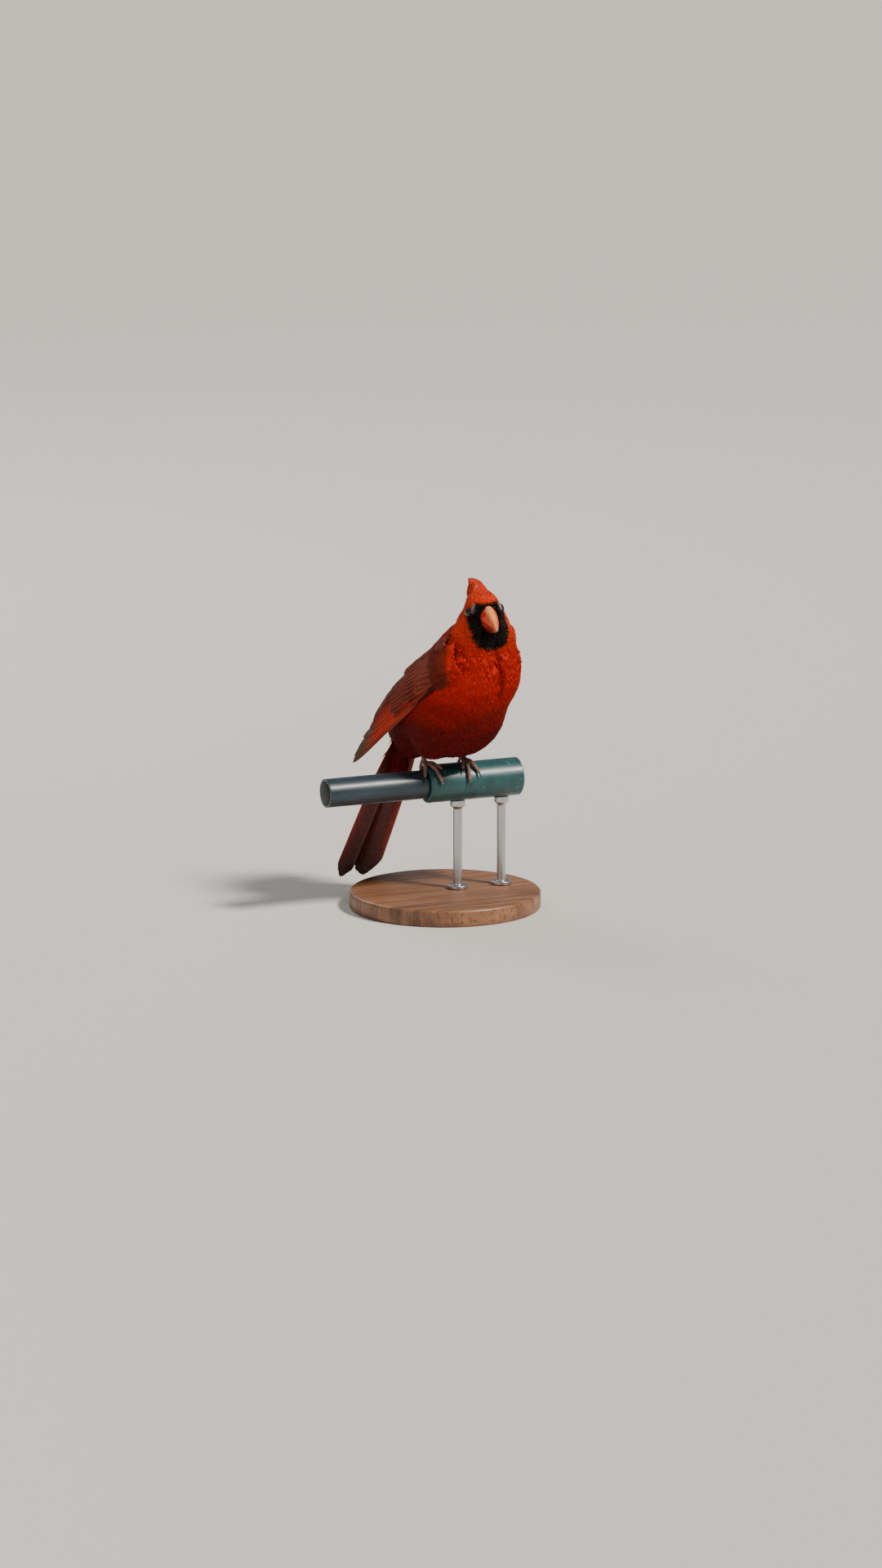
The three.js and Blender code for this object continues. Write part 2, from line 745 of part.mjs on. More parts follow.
function tarsus(foot) {
  const from = onPerch(foot.x, rad(foot.angle), PAD_R + 0.6);
  const up = V(...foot.lean, 16);
  const curve = new THREE.LineCurve3(from, from.clone().add(up));
  return solidOf(limb(curve, (t) => TARSUS_R * (1 + 0.15 * Math.cos(t * Math.PI)), 5, 8));
}

// Perch and stand
function turned(profile, segments) {
  return new THREE.LatheGeometry(profile.map(([r, z]) => new THREE.Vector2(r, z)), segments);
}

// A bar along X from a profile of radius and place.
function bar(profile, segments) {
  return solidOf(turned(profile, segments).rotateZ(-Math.PI / 2).translate(0, 0, PERCH_HEIGHT));
}

const PERCH_SIDES = 28;
const PLUG_DEPTH = 2;
function perchTube() {
  const end = SLEEVE_LEFT - GAP;
  const mouth = [
    [0, PERCH_LEFT + PLUG_DEPTH],
    [PLUG_R + GAP, PERCH_LEFT + PLUG_DEPTH],
    [PLUG_R + GAP, PERCH_LEFT],
    [TUBE_R - 0.4, PERCH_LEFT],
    [TUBE_R, PERCH_LEFT + 0.4],
  ];
  return bar([...mouth, [TUBE_R, end], [0, end]], PERCH_SIDES);
}

function perchSleeve() {
  const rim = [
    [0, SLEEVE_LEFT],
    [SLEEVE_R - 1, SLEEVE_LEFT],
    [SLEEVE_R, SLEEVE_LEFT + 1],
  ];
  const mouth = [
    [SLEEVE_R, PERCH_RIGHT - 0.6],
    [SLEEVE_R - 0.6, PERCH_RIGHT],
    [SLEEVE_PLUG_R + GAP, PERCH_RIGHT],
    [SLEEVE_PLUG_R + GAP, PERCH_RIGHT - PLUG_DEPTH],
    [0, PERCH_RIGHT - PLUG_DEPTH],
  ];
  return bar([...rim, ...mouth], PERCH_SIDES);
}

// A low domed plug in a cut end, which faces along the sign of towards.
function endPlug(x, radius, towards) {
  const flat = x - towards * (PLUG_DEPTH - GAP);
  const steps = 2;
  const dome = Array.from({ length: steps + 1 }, (_, i) => {
    const a = (Math.PI / 2) * (i / steps);
    return [radius * Math.cos(a), x + towards * PLUG_DOME * Math.sin(a)];
  });
  dome[steps][0] = 0;
  return bar([[0, flat], [radius, flat], ...dome], PERCH_SIDES);
}

function standRod(x, sleeveCut) {
  const bottom = BASE_H + GAP;
  const top = PERCH_HEIGHT - 2;
  const shoulder = PERCH_HEIGHT - SLEEVE_R - SADDLE_H;
  const flange = [
    [0, bottom],
    [FLANGE_R, bottom],
    [FLANGE_R, bottom + FLANGE_H - 0.6],
    [FLANGE_R - 0.6, bottom + FLANGE_H],
    [ROD_R, bottom + FLANGE_H],
  ];
  const saddle = [
    [ROD_R, shoulder],
    [SADDLE_R, shoulder + 1.8],
    [SADDLE_R, top],
    [0, top],
  ];
  const g = turned([...flange, ...saddle], 16);
  return solidOf(g.rotateX(Math.PI / 2).translate(x, 0, 0)).subtract(sleeveCut);
}

function standBase() {
  const edge = 2;
  const round = Array.from({ length: edge + 1 }, (_, i) => {
    const a = (Math.PI / 2) * (i / edge);
    return [BASE_R - BASE_EDGE + BASE_EDGE * Math.cos(a), BASE_H - BASE_EDGE + BASE_EDGE * Math.sin(a)];
  });
  return solidOf(turned([[0, 0], [BASE_R - 0.8, 0], [BASE_R, 0.8], ...round, [0, BASE_H]], 48).rotateX(Math.PI / 2));
}

// Colours
const finish = (color, roughness, metalness = 0) =>
  new THREE.MeshStandardMaterial({ color, roughness, metalness });
const FINISH = {
  plumage: finish(0xc9230a, 0.85),
  quills: finish(0x8a1f12, 0.7),
  bill: finish(0xd9663a, 0.45),
  eye: finish(0x120a08, 0.08),
  skin: finish(0x8f6256, 0.7),
  claw: finish(0x2b211f, 0.4),
  tube: finish(0x1d2c33, 0.4),
  sleeve: finish(0x1f4b4e, 0.45),
  plug: finish(0x15171a, 0.6),
  wood: finish(0x6b4630, 0.6),
  steel: finish(0xa9abad, 0.3, 1),
};

// Assembly
const group = new THREE.Group();
const bird = new THREE.Group();
bird.applyMatrix4(BIRD);
group.add(bird);
const add = (parent, name, solid, material) => {
  const mesh = new THREE.Mesh(geometryOf(solid), material);
  mesh.name = name;
  parent.add(mesh);
};

const RINGS = 30;
const SIDES = 26;
const body = bodySolid(0, RINGS, SIDES);
const bodyCut = bodySolid(GAP, RINGS, SIDES);
const [lower, head] = parted(body, spineSlab(HEAD_CUT), spineFrame(HEAD_CUT).along);
const [torso, neck] = parted(lower, spineSlab(NECK_CUT), spineFrame(NECK_CUT).along);

const SIDE = { left: 1, right: -1 };
const sockets = joined([eyeball(1, GAP), eyeball(-1, GAP)]);
const crestedHead = joined([head, lids(1), lids(-1), crestWedge(), ...crestFeathers()]).subtract(sockets);
add(bird, "head", crestedHead, FINISH.plumage);
add(bird, "neck", neck, FINISH.plumage);
add(bird, "torso", torso, FINISH.plumage);
for (const [name, side] of Object.entries(SIDE)) add(bird, `eye_${name}`, eyeball(side, 0), FINISH.eye);

const headGrown = joined([bodyCut, ...[1, -1].map(lids)]);
const upper = billHalf(BILL_LENGTH, upperHalfWidth, ridgeAt, (u) => mouthAt(u) + GAP / 2);
const underMouth = (u) => mouthAt((u * LOWER_BILL_LENGTH) / BILL_LENGTH) - GAP / 2;
const lowerBill = billHalf(LOWER_BILL_LENGTH, lowerHalfWidth, keelAt, underMouth);
add(bird, "bill_upper", upper.subtract(headGrown).subtract(joined([nostril(1), nostril(-1)])), FINISH.bill);
add(bird, "bill_lower", lowerBill.subtract(headGrown), FINISH.bill);

for (const [name, side] of Object.entries(SIDE)) {
  const wing = joined([wingCore(side), ...wingFeathers(side)]).subtract(bodyCut);
  add(bird, `wing_${name}`, wing, FINISH.quills);
}
const tail = joined([tailRoot(), ...tailFeathers(), ...tailCoverts()]).subtract(bodyCut);
add(bird, "tail", tail, FINISH.quills);

const worldCut = solidOf(geometryOf(bodyCut).applyMatrix4(BIRD));
for (const [name, foot] of Object.entries(FEET)) {
  const toes = foot.toes.map((spec) => toe(foot, spec));
  add(group, `leg_${name}`, tarsus(foot).subtract(padCut(foot)).subtract(worldCut), FINISH.skin);
  add(group, `foot_${name}`, joined([pad(foot), ...toes]).subtract(worldCut), FINISH.skin);
  foot.toes.forEach((spec, i) => {
    add(group, `claw_${name}_${i + 1}`, claw(foot, spec).subtract(toes[i]), FINISH.claw);
  });
}

const sleeveRoom = SLEEVE_R + GAP;
const sleeveCut = bar(
  [
    [0, SLEEVE_LEFT - 9],
    [sleeveRoom, SLEEVE_LEFT - 9],
    [sleeveRoom, PERCH_RIGHT + 9],
    [0, PERCH_RIGHT + 9],
  ],
  PERCH_SIDES,
);
add(group, "perch_tube", perchTube(), FINISH.tube);
add(group, "perch_sleeve", perchSleeve(), FINISH.sleeve);
add(group, "perch_plug_left", endPlug(PERCH_LEFT, PLUG_R, -1), FINISH.plug);
add(group, "perch_plug_right", endPlug(PERCH_RIGHT, SLEEVE_PLUG_R, 1), FINISH.plug);
add(group, "stand_base", standBase(), FINISH.wood);
ROD_X.forEach((x, i) => add(group, `stand_rod_${i + 1}`, standRod(x, sleeveCut), FINISH.steel));

export default group;
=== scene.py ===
"""The looks of a life-size male northern cardinal on its perch and display stand, for Blender 4.5.

The bird is worked out in millimetres in its own frame (X ahead, Y to its left, Z up, the perch axis
at its origin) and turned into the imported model's frame in metres at the end.
"""
import math

import bpy
import numpy as np
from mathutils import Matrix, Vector


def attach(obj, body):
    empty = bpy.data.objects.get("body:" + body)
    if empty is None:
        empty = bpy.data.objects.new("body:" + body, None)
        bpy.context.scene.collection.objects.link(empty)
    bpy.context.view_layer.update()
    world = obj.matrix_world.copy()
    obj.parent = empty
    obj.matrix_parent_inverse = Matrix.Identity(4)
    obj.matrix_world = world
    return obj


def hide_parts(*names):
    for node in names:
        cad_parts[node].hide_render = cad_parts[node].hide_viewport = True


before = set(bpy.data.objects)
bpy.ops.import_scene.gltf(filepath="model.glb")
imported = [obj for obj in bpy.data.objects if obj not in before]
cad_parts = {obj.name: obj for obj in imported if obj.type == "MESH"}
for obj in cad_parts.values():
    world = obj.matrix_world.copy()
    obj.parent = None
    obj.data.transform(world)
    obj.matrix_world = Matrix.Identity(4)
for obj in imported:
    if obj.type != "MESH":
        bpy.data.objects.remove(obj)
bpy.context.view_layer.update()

# Camera: the photograph's framing and angle, on a perch seen slightly from above.
# The perch's middle is put at its own pixel by a small lens shift.
MM = 0.001
PERCH_HEIGHT = 74.0
PICTURE = (1080, 1920)
PIXELS_PER_MM = 2.1
PERCH_PIXEL = (545, 958)
VIEW_AZIMUTH = math.radians(-24)
VIEW_ELEVATION = math.radians(12)
VIEW_DISTANCE = 4.0
SENSOR = 36.0

focus = Vector((0, 0, PERCH_HEIGHT * MM))
away = Vector((math.sin(VIEW_AZIMUTH) * math.cos(VIEW_ELEVATION),
               -math.cos(VIEW_AZIMUTH) * math.cos(VIEW_ELEVATION), math.sin(VIEW_ELEVATION)))
lens = bpy.data.cameras.new("camera")
camera = bpy.data.objects.new("camera", lens)
bpy.context.scene.collection.objects.link(camera)
camera.location = focus + away * VIEW_DISTANCE
camera.rotation_euler = away.to_track_quat("Z", "Y").to_euler()
lens.sensor_width = SENSOR
lens.lens = SENSOR * VIEW_DISTANCE / (PICTURE[1] / PIXELS_PER_MM * MM)
lens.shift_x = (PICTURE[0] / 2 - PERCH_PIXEL[0]) / PICTURE[1]
lens.shift_y = (PERCH_PIXEL[1] - PICTURE[1] / 2) / PICTURE[1]
lens.clip_end = 30
bpy.context.scene.camera = camera


# Skin: the flesh and the close down of head, neck and trunk, one surface under all the feathers.
# It is a smooth blend of egg-shaped masses, measured by rays from a line through the body, and it
# has the same markings as the feathers that hide it, darkened: partly dusky down, partly painted
# shade under the coat.
def turn(axis, degrees):
    """The 3x3 matrix of a right-handed turn about the X (0), Y (1) or Z (2) axis."""
    c, s = math.cos(math.radians(degrees)), math.sin(math.radians(degrees))
    i, j = [(1, 2), (2, 0), (0, 1)][axis]
    m = np.eye(3)
    m[i, i] = m[j, j] = c
    m[i, j], m[j, i] = -s, s
    return m


BIRD_TURN = turn(2, -67)
HEAD_AT = np.array([31, 0.5, 105.5])
HEAD_TURN = turn(2, -32) @ turn(1, 4) @ turn(0, 5)


def from_head(points):
    """Points given in the head's frame, turned with the head and moved to its place on the bird."""
    return np.asarray(points, float) @ HEAD_TURN.T + HEAD_AT


def to_head(points):
    """Points given in the bird's frame, moved and turned back into the head's frame."""
    return (np.asarray(points, float) - HEAD_AT) @ HEAD_TURN


def to_world(points):
    """Points given in the bird's frame in millimetres, in the model's frame in metres."""
    return (np.asarray(points, float) @ BIRD_TURN.T + [0, 0, PERCH_HEIGHT]) * MM


# The masses: each has a centre, three half-sizes and a pitch. The head's are in the head's frame.
BLEND = 2.6
TRUNK_MASSES = [
    ("breast", (20, 1.8, 67), (30, 28, 26.5), -50),
    ("belly", (7, 1.2, 46), (29.5, 28.5, 29), -45),
    ("back", (-7, 0, 52), (36, 24.5, 19.5), -47),
    ("rump", (-26, 0, 34), (17, 13, 11), -52),
    ("vent", (-21, 0, 26), (17, 14.5, 11), -50),
    ("left thigh", (2, 14, 30), (12, 9, 13), 0),
    ("right thigh", (2, -14, 30), (12, 9, 13), 0),
    ("ruff", (25.5, 1.6, 87.5), (20.5, 21, 13.5), -20),
]
HEAD_MASSES = [
    ("skull", (-3.5, 0, 0.6), (11.5, 7.8, 8.6), 0),
    ("crown", (-6.5, 0, 3.6), (10.5, 6.8, 5.2), 12),
    ("left cheek", (-8, 6, -7.5), (8.5, 6.8, 7.5), 0),
    ("right cheek", (-8, -6, -7.5), (8.5, 6.8, 7.5), 0),
    ("chin", (3, 0, -10), (5.5, 6, 5.5), 0),
    ("lores", (3.8, 0, -2), (4.5, 5.8, 6.5), 0),
]
MASSES = [(np.array(at, float), turn(1, pitch), np.array(half, float))
          for _, at, half, pitch in TRUNK_MASSES]
MASSES += [(from_head(at), HEAD_TURN @ turn(1, pitch), np.array(half, float))
           for _, at, half, pitch in HEAD_MASSES]
GROOVE_DEPTH = 1.5
RIPPLE_DEPTH = 0.35
BROW_SWELL = 0.9


def lerp(a, b, t):
    """The value a share t of the way from a to b."""
    return a + (b - a) * t


def smooth(x, low, high):
    """0 below low, 1 above high, and the S curve 3t² - 2t³ between."""
    t = np.clip((np.asarray(x, float) - low) / (high - low), 0, 1)
    return t * t * (3 - 2 * t)


def unit(v):
    """Vectors divided by their lengths."""
    return v / (np.linalg.norm(v, axis=-1, keepdims=True) + 1e-12)


def groove(p):
    """How far the breast's parting is sunk: a bell-shaped valley down the front, faded out above,
    below and behind by S curves."""
    x, y, z = p[..., 0], p[..., 1], p[..., 2]
    aside = y + 2.6 + 0.12 * (z - 74)
    valley = np.exp(-(aside / 2.0) ** 2)
    return valley * smooth(z, 54, 68) * (1 - smooth(z, 82, 92)) * smooth(x, 24, 34)


def ripple(p):
    """A slow unevenness of loose plumage, the product of three sine waves."""
    x, y, z = p[..., 0], p[..., 1], p[..., 2]
    return np.sin(0.41 * x + 0.23 * z + 1) * np.sin(0.47 * y - 0.2 * z) * np.sin(0.37 * z + 0.3 * x + 2)


def cheek_fold(p):
    """The bell-shaped valley between the ear feathers and the fuller ones below, on each cheek."""
    x, y, z = np.moveaxis(to_head(p), -1, 0)
    across = z + 11.2 + 0.2 * x
    valley = np.exp(-(across / 1.5) ** 2)
    return valley * smooth(np.abs(y), 6, 10) * smooth(x, -18, -8) * (1 - smooth(x, 1, 5))


EYE_R = 3.3
EYES = [np.array(at) for at in ((35.4, 7.45, 106.2), (26.43, -6.71, 104.75))]
EYES_OUT = [unit(np.array([0.3, side, 0.05])) @ HEAD_TURN.T for side in (1, -1)]


def depth(p):
    """About the distance from points to the plumage's outline, negative inside: minus the logarithm
    of the summed exponentials of each mass's own depth, with the groove, the folds and the ripple
    sunk in it and a swelling round each eye."""
    total = 0
    for at, axes, half in MASSES:
        q = (p - at) @ axes / half
        near = np.linalg.norm(q, axis=-1)
        total = total + np.exp(-near * (near - 1) / (np.linalg.norm(q / half, axis=-1) * BLEND))
    brow = sum(np.exp(-((p - eye - 2.2 * out) ** 2).sum(-1) / 18) for eye, out in zip(EYES, EYES_OUT))
    return (-BLEND * np.log(total) + GROOVE_DEPTH * groove(p) + RIPPLE_DEPTH * ripple(p)
            - BROW_SWELL * brow + cheek_fold(p))


def reach(origin, direction, level):
    """How far along rays a depth is met, by halving the span in which it lies 24 times."""
    low, high = np.zeros(origin.shape[:-1]), np.full(origin.shape[:-1], 60.0)
    for _ in range(24):
        middle = (low + high) / 2
        inside = depth(origin + direction * middle[..., None]) < level
        low, high = np.where(inside, middle, low), np.where(inside, high, middle)
    return low


def curve_through(points, count):
    """Points evenly spaced along a smooth cubic curve through the given ones (Catmull-Rom)."""
    p = np.asarray(points, float)
    p = np.concatenate([2 * p[:1] - p[1:2], p, 2 * p[-1:] - p[-2:-1]])
    t = np.linspace(0, 1, 60, endpoint=False)[:, None]
    a, b, c, d = p[:-3, None], p[1:-2, None], p[2:-1, None], p[3:, None]
    fine = 0.5 * (2 * b + (c - a) * t + (2 * a - 5 * b + 4 * c - d) * t**2
                  + (3 * b - a - 3 * c + d) * t**3)
    fine = np.concatenate([fine.reshape(-1, p.shape[1]), p[-2:-1]])
    along = np.concatenate([[0], np.cumsum(np.linalg.norm(np.diff(fine, axis=0), axis=1))])
    at = np.linspace(0, along[-1], count)
    return np.stack([np.interp(at, along, fine[:, i]) for i in range(p.shape[1])], -1)


# The line through the body that the skin's rings are set round, from the rump to the crown.
SPINE = curve_through([(-46, 0, 18), (-24, 0, 33), (0, 0, 51), (15, 0, 71), (24, 0.2, 89),
                       (27.5, 0.5, 105), (26, 0.5, 128)], 401)
SPINE_ALONG = unit(np.gradient(SPINE, axis=0))
SPINE_LEFT = unit(np.array([0, 1.0, 0]) - SPINE_ALONG * SPINE_ALONG[:, 1:2])
SPINE_BACK = np.cross(SPINE_ALONG, SPINE_LEFT)


def spine_at(share, what):
    """A spine quantity at shares of its length, in proportion between its samples."""
    place = np.clip(share, 0, 1) * (len(SPINE) - 1)
    low = np.minimum(place.astype(int), len(SPINE) - 2)
    f = (place - low)[..., None]
    return what[low] * (1 - f) + what[low + 1] * f


COAT_DEPTH = 1.3
SKIN_ROWS = 230
SKIN_COLUMNS = 220


def skin_points(rows, angle, level):
    """Points where rays from the spine, at shares of its length and angles round it, meet a depth."""
    rows, angle = np.broadcast_arrays(rows, angle)
    centre = spine_at(rows, SPINE)
    out = (spine_at(rows, SPINE_LEFT) * np.cos(angle)[..., None]
           + spine_at(rows, SPINE_BACK) * np.sin(angle)[..., None])
    return centre + out * reach(centre, out, level)[..., None]


skin_ends = np.nonzero(depth(SPINE) < -COAT_DEPTH)[0][[0, -1]] / (len(SPINE) - 1)
row_turn = np.pi * (np.arange(SKIN_ROWS) + 0.3) / (SKIN_ROWS - 0.4)
SKIN_SHARE = lerp(skin_ends[0], skin_ends[1], (1 - np.cos(row_turn)) / 2)
skin_angles = 2 * np.pi * np.arange(SKIN_COLUMNS) / SKIN_COLUMNS
skin_grid = skin_points(SKIN_SHARE[:, None], skin_angles[None], -COAT_DEPTH)


# The markings: a black face mask, orange-red head and breast, a darker crimson belly and a dusky
# brown-red mantle. The belly's dark red is partly its own duller tone and partly painted shade, and
# the head's bright orange-red is partly painted highlight, as from a high sun. One function colours
# both the skin and every feather on it by place.
def srgb(red, green, blue):
    """A colour from 0 to 255 as seen, turned into light values by the screen's own curve."""
    c = np.array([red, green, blue]) / 255
    return np.where(c <= 0.04045, c / 12.92, ((c + 0.055) / 1.055) ** 2.4)


def mixed(a, b, share):
    """Colour a with a share of colour b, both one colour or one for each point."""
    share = np.asarray(share, float)[..., None]
    return a * (1 - share) + b * share


# Partly painted highlight: the head's red made brighter, as lit from above.
FACE_LIT_RED = srgb(246, 62, 8)
BREAST_RED = srgb(228, 38, 6)
# Partly painted shade: the belly's red made darker, as in the body's own shadow.
BELLY_SHADED_RED = srgb(122, 9, 4)
VENT_RED = srgb(114, 16, 9)
MANTLE = srgb(128, 50, 34)
RUMP = srgb(150, 42, 30)
NAPE = srgb(176, 46, 24)
# Painted shade for the creases.
FOLD_SHADE_RED = srgb(118, 12, 8)
BLACK = srgb(20, 13, 11)
MASK_FLECK = srgb(112, 100, 84)
PALE_SKIN = srgb(196, 158, 150)
MASK_AT = np.array([10, 0, -5.6])
MASK_HALF = np.array([11.6, 12.4, 12.4])


def patchy(p, size, seed):
    """A repeatable blotchy pattern from -1 to 1, made of crossed sine waves about size apart."""
    k = 2 * math.pi / size
    x, y, z = p[..., 0] + 7.3 * seed, p[..., 1] - 3.1 * seed, p[..., 2] + 5.7 * seed
    return (np.sin(k * x + 1.7 * np.sin(k * 0.61 * z)) * np.sin(k * y + 1.3 * np.sin(k * 0.73 * x))
            + np.sin(k * z * 1.13 + 1.9 * np.sin(k * 0.57 * y))) / 2


def backness(p):
    """From -1 on the breast side to 1 on the back side, by the nearest place on the spine."""
    coarse = slice(0, None, 8)
    near = np.argmin(((p[:, None] - SPINE[coarse]) ** 2).sum(-1), 1) * 8
    return (unit(p - SPINE[near]) * SPINE_BACK[near]).sum(-1)


def mask_share(p):
    """How black a point is: inside a squarish egg round the bill's root, with a ragged edge."""
    h = to_head(p)
    off = (h - MASK_AT) / MASK_HALF
    off[..., 1] = off[..., 1] * (1 + lerp(0.12, 0.27, h[..., 1] > 0) * smooth(-h[..., 2], 0, 6))
    edge = (np.abs(off) ** 2.8).sum(-1) ** (1 / 2.8)
    edge = edge + 0.05 * patchy(p, 3.1, 1) + 0.03 * patchy(p, 1.3, 2)
    brow = smooth(h[..., 2], 4.6 + 0.8 * patchy(p, 2.3, 3), 6.2)
    return (1 - smooth(edge, 0.95, 1.04)) * (1 - brow)


def markings(p):
    """The colour of the plumage at points: each marking is laid over the last by a share that
    grows along an S curve of height, of backness or of the distance to its middle."""
    shape, p = p.shape, p.reshape(-1, 3)
    h = to_head(p)
    z = p[:, 2]
    back = backness(p)
    # Darker low down and brighter high up: partly the bird's own tones, partly painted shade on the
    # belly and painted highlight on the head.
    colour = mixed(BELLY_SHADED_RED, BREAST_RED, smooth(z + 4 * patchy(p, 17, 4), 34, 72))
    colour = mixed(colour, VENT_RED, smooth(-p[:, 0], 8, 24) * (1 - smooth(z, 30, 52)))
    colour = mixed(colour, FACE_LIT_RED, smooth(z, 80, 98))
    mantle = (smooth(back + 0.12 * patchy(p, 6, 5), 0.02, 0.4)
              * (1 - smooth(z + 3 * patchy(p, 8, 6), 84, 97)))
    colour = mixed(colour, mixed(MANTLE, RUMP, smooth(-p[:, 0], 12, 26)), mantle)
    nape = smooth(back, 0.3, 0.8) * smooth(z, 84, 92) * (1 - smooth(h[:, 2], 0, 9))
    colour = mixed(colour, NAPE, 0.7 * nape)
    # Painted shade in the breast's parting and in the fold on each cheek.
    colour = mixed(colour, FOLD_SHADE_RED, np.clip(0.75 * groove(p) + 0.5 * cheek_fold(p), 0, 1))
    side = np.abs(h[:, 1])
    scruff = np.exp(-(((h[:, 0] - 4.0) / 2.4) ** 2 + ((side - 7.2) / 2.2) ** 2
                      + ((h[:, 2] - 2.4) / 3.0) ** 2))
    colour = mixed(colour, BLACK, mask_share(p))
    colour = mixed(colour, PALE_SKIN, smooth(scruff + 0.35 * patchy(p, 1.7, 7), 0.42, 0.8))
    flecks = (mask_share(p) * smooth(patchy(p, 1.3, 8) + 0.02 * side, 0.72, 0.88)
              * smooth(-h[:, 2], 1, 5))
    return mixed(colour, MASK_FLECK, 0.8 * flecks).reshape(shape)


def grid_faces(rows, columns, wrap):
    """Quads over a grid of points, closed round its columns if wrap is true."""
    i, j = np.meshgrid(np.arange(rows - 1), np.arange(columns if wrap else columns - 1), indexing="ij")
    k = (j + 1) % columns
    corners = [i * columns + j, i * columns + k, (i + 1) * columns + k, (i + 1) * columns + j]
    return np.stack(corners, -1).reshape(-1, 4)


def closed_loft(rings):
    """Points and faces of a closed skin over rings (rows, columns, 3), with a fan of triangles to
    the middle of the first and of the last ring."""
    rows, columns = rings.shape[:2]
    points = np.concatenate([rings.reshape(-1, 3), rings[:1].mean(1), rings[-1:].mean(1)])
    k = np.arange(columns)
    first, last = rows * columns, rows * columns + 1
    start = np.stack([np.full(columns, first), (k + 1) % columns, k], -1)
    base = (rows - 1) * columns
    end = np.stack([np.full(columns, last), base + k, base + (k + 1) % columns], -1)
    return points, [grid_faces(rows, columns, True), start, end]


def mesh_piece(name, points, faces, material, colour=None, uv=None, world=True):
    """One smooth mesh object from points and a list of face arrays, riding on the body. The points
    are in the bird's frame, or in the model's own if world is false."""
    mesh = bpy.data.meshes.new(name)
    points = to_world(points) if world else np.asarray(points, float) * MM
    corners = np.concatenate([f.ravel() for f in faces]).astype(np.int32)
    sizes = np.concatenate([np.full(len(f), f.shape[1], np.int32) for f in faces])
    starts = np.concatenate([[0], np.cumsum(sizes)[:-1]]).astype(np.int32)
    mesh.vertices.add(len(points))
    mesh.vertices.foreach_set("co", points.astype(np.float32).ravel())
    mesh.loops.add(len(corners))
    mesh.loops.foreach_set("vertex_index", corners)
    mesh.polygons.add(len(sizes))
    mesh.polygons.foreach_set("loop_start", starts)
    mesh.polygons.foreach_set("loop_total", sizes)
    mesh.update(calc_edges=True)
    mesh.polygons.foreach_set("use_smooth", np.ones(len(sizes), bool))
    if colour is not None:
        tints = np.c_[colour, np.ones(len(colour))].astype(np.float32)
        layer = mesh.color_attributes.new("tint", "FLOAT_COLOR", "POINT")
        layer.data.foreach_set("color", tints.ravel())
    if uv is not None:
        places = uv[corners].astype(np.float32)
        mesh.uv_layers.new(name="OFBake").data.foreach_set("uv", places.ravel())
    mesh.materials.append(material)
    piece = bpy.data.objects.new(name, mesh)
    bpy.context.scene.collection.objects.link(piece)
    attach(piece, "root")
    return piece


class Look:
    """A material: a principled surface whose colour, roughness and bump are made of nodes."""

    def __init__(self, name, **settings):
        """Constants are set on the surface's own sockets, with _ for each space in their names."""
        self.material = bpy.data.materials.new(name)
        self.material.use_nodes = True
        self.nodes = self.material.node_tree.nodes
        self.links = self.material.node_tree.links
        self.shader = self.nodes["Principled BSDF"]
        for key, value in settings.items():
            self.shader.inputs[key.replace("_", " ")].default_value = value

    def add(self, kind, inputs=None, **settings):
        """A node with plain settings, and inputs that are numbers or other nodes' outputs."""
        node = self.nodes.new(kind)
        for key, value in settings.items():
            setattr(node, key, value)
        for key, value in (inputs or {}).items():
            self.put(node.inputs[key], value)
        return node

    def put(self, socket, value):
        """Fills a socket with another node's output, a colour or a number."""
        if isinstance(value, bpy.types.NodeSocket):
            self.links.new(value, socket)
        elif np.ndim(value) == 1 and len(value) == 3 and len(socket.default_value) == 4:
            socket.default_value = (*value, 1)
        else:
            socket.default_value = value

    def place(self):
        """Where a point lies on its piece, in metres."""
        return self.add("ShaderNodeTexCoord").outputs["Object"]

    def attribute(self, name, kind="Color"):
        """A value that the mesh holds for each point: its tint, or its place on a vane."""
        return self.add("ShaderNodeAttribute", attribute_name=name).outputs[kind]

    def noise(self, scale, detail=3.0, stretch=None):
        """A cloudy value from 0 to 1 with scale clouds to the metre, stretched by a factor per axis."""
        source = self.place()
        if stretch:
            source = self.add("ShaderNodeMapping", {"Vector": source, "Scale": stretch}).outputs[0]
        return self.add("ShaderNodeTexNoise", {"Vector": source, "Scale": scale, "Detail": detail,
                                               "Roughness": 0.55}).outputs[0]

    def ramp(self, value, *stops):
        """A value looked up between stops, each a place from 0 to 1 and a grey or a colour there."""
        node = self.add("ShaderNodeValToRGB", {"Fac": value})
        band = node.color_ramp
        while len(band.elements) < len(stops):
            band.elements.new(0.5)
        for element, (place, colour) in zip(band.elements, stops):
            element.position = place
            element.color = (*colour, 1) if np.ndim(colour) else (colour, colour, colour, 1)
        return node.outputs[0]

    def mix(self, a, b, share):
        """Colour a with a share of colour b."""
        node = self.add("ShaderNodeMix", data_type="RGBA")
        self.put(node.inputs[0], share)
        self.put(node.inputs[6], a)
        self.put(node.inputs[7], b)
        return node.outputs[2]

    def maths(self, operation, a, b=0.0):
        """One step of arithmetic on two values."""
        node = self.add("ShaderNodeMath", operation=operation)
        self.put(node.inputs[0], a)
        self.put(node.inputs[1], b)
        return node.outputs[0]

    def bump(self, height, distance, strength=1.0):
        """Fine relief: a height from 0 to 1 stands for a distance in metres."""
        node = self.add("ShaderNodeBump", {"Height": height, "Distance": distance, "Strength": strength})
        self.links.new(node.outputs[0], self.shader.inputs["Normal"])

    def colour(self, value):
        """The surface's colour."""
        self.put(self.shader.inputs["Base Color"], value)

    def roughness(self, value):
        """The surface's roughness."""
        self.put(self.shader.inputs["Roughness"], value)


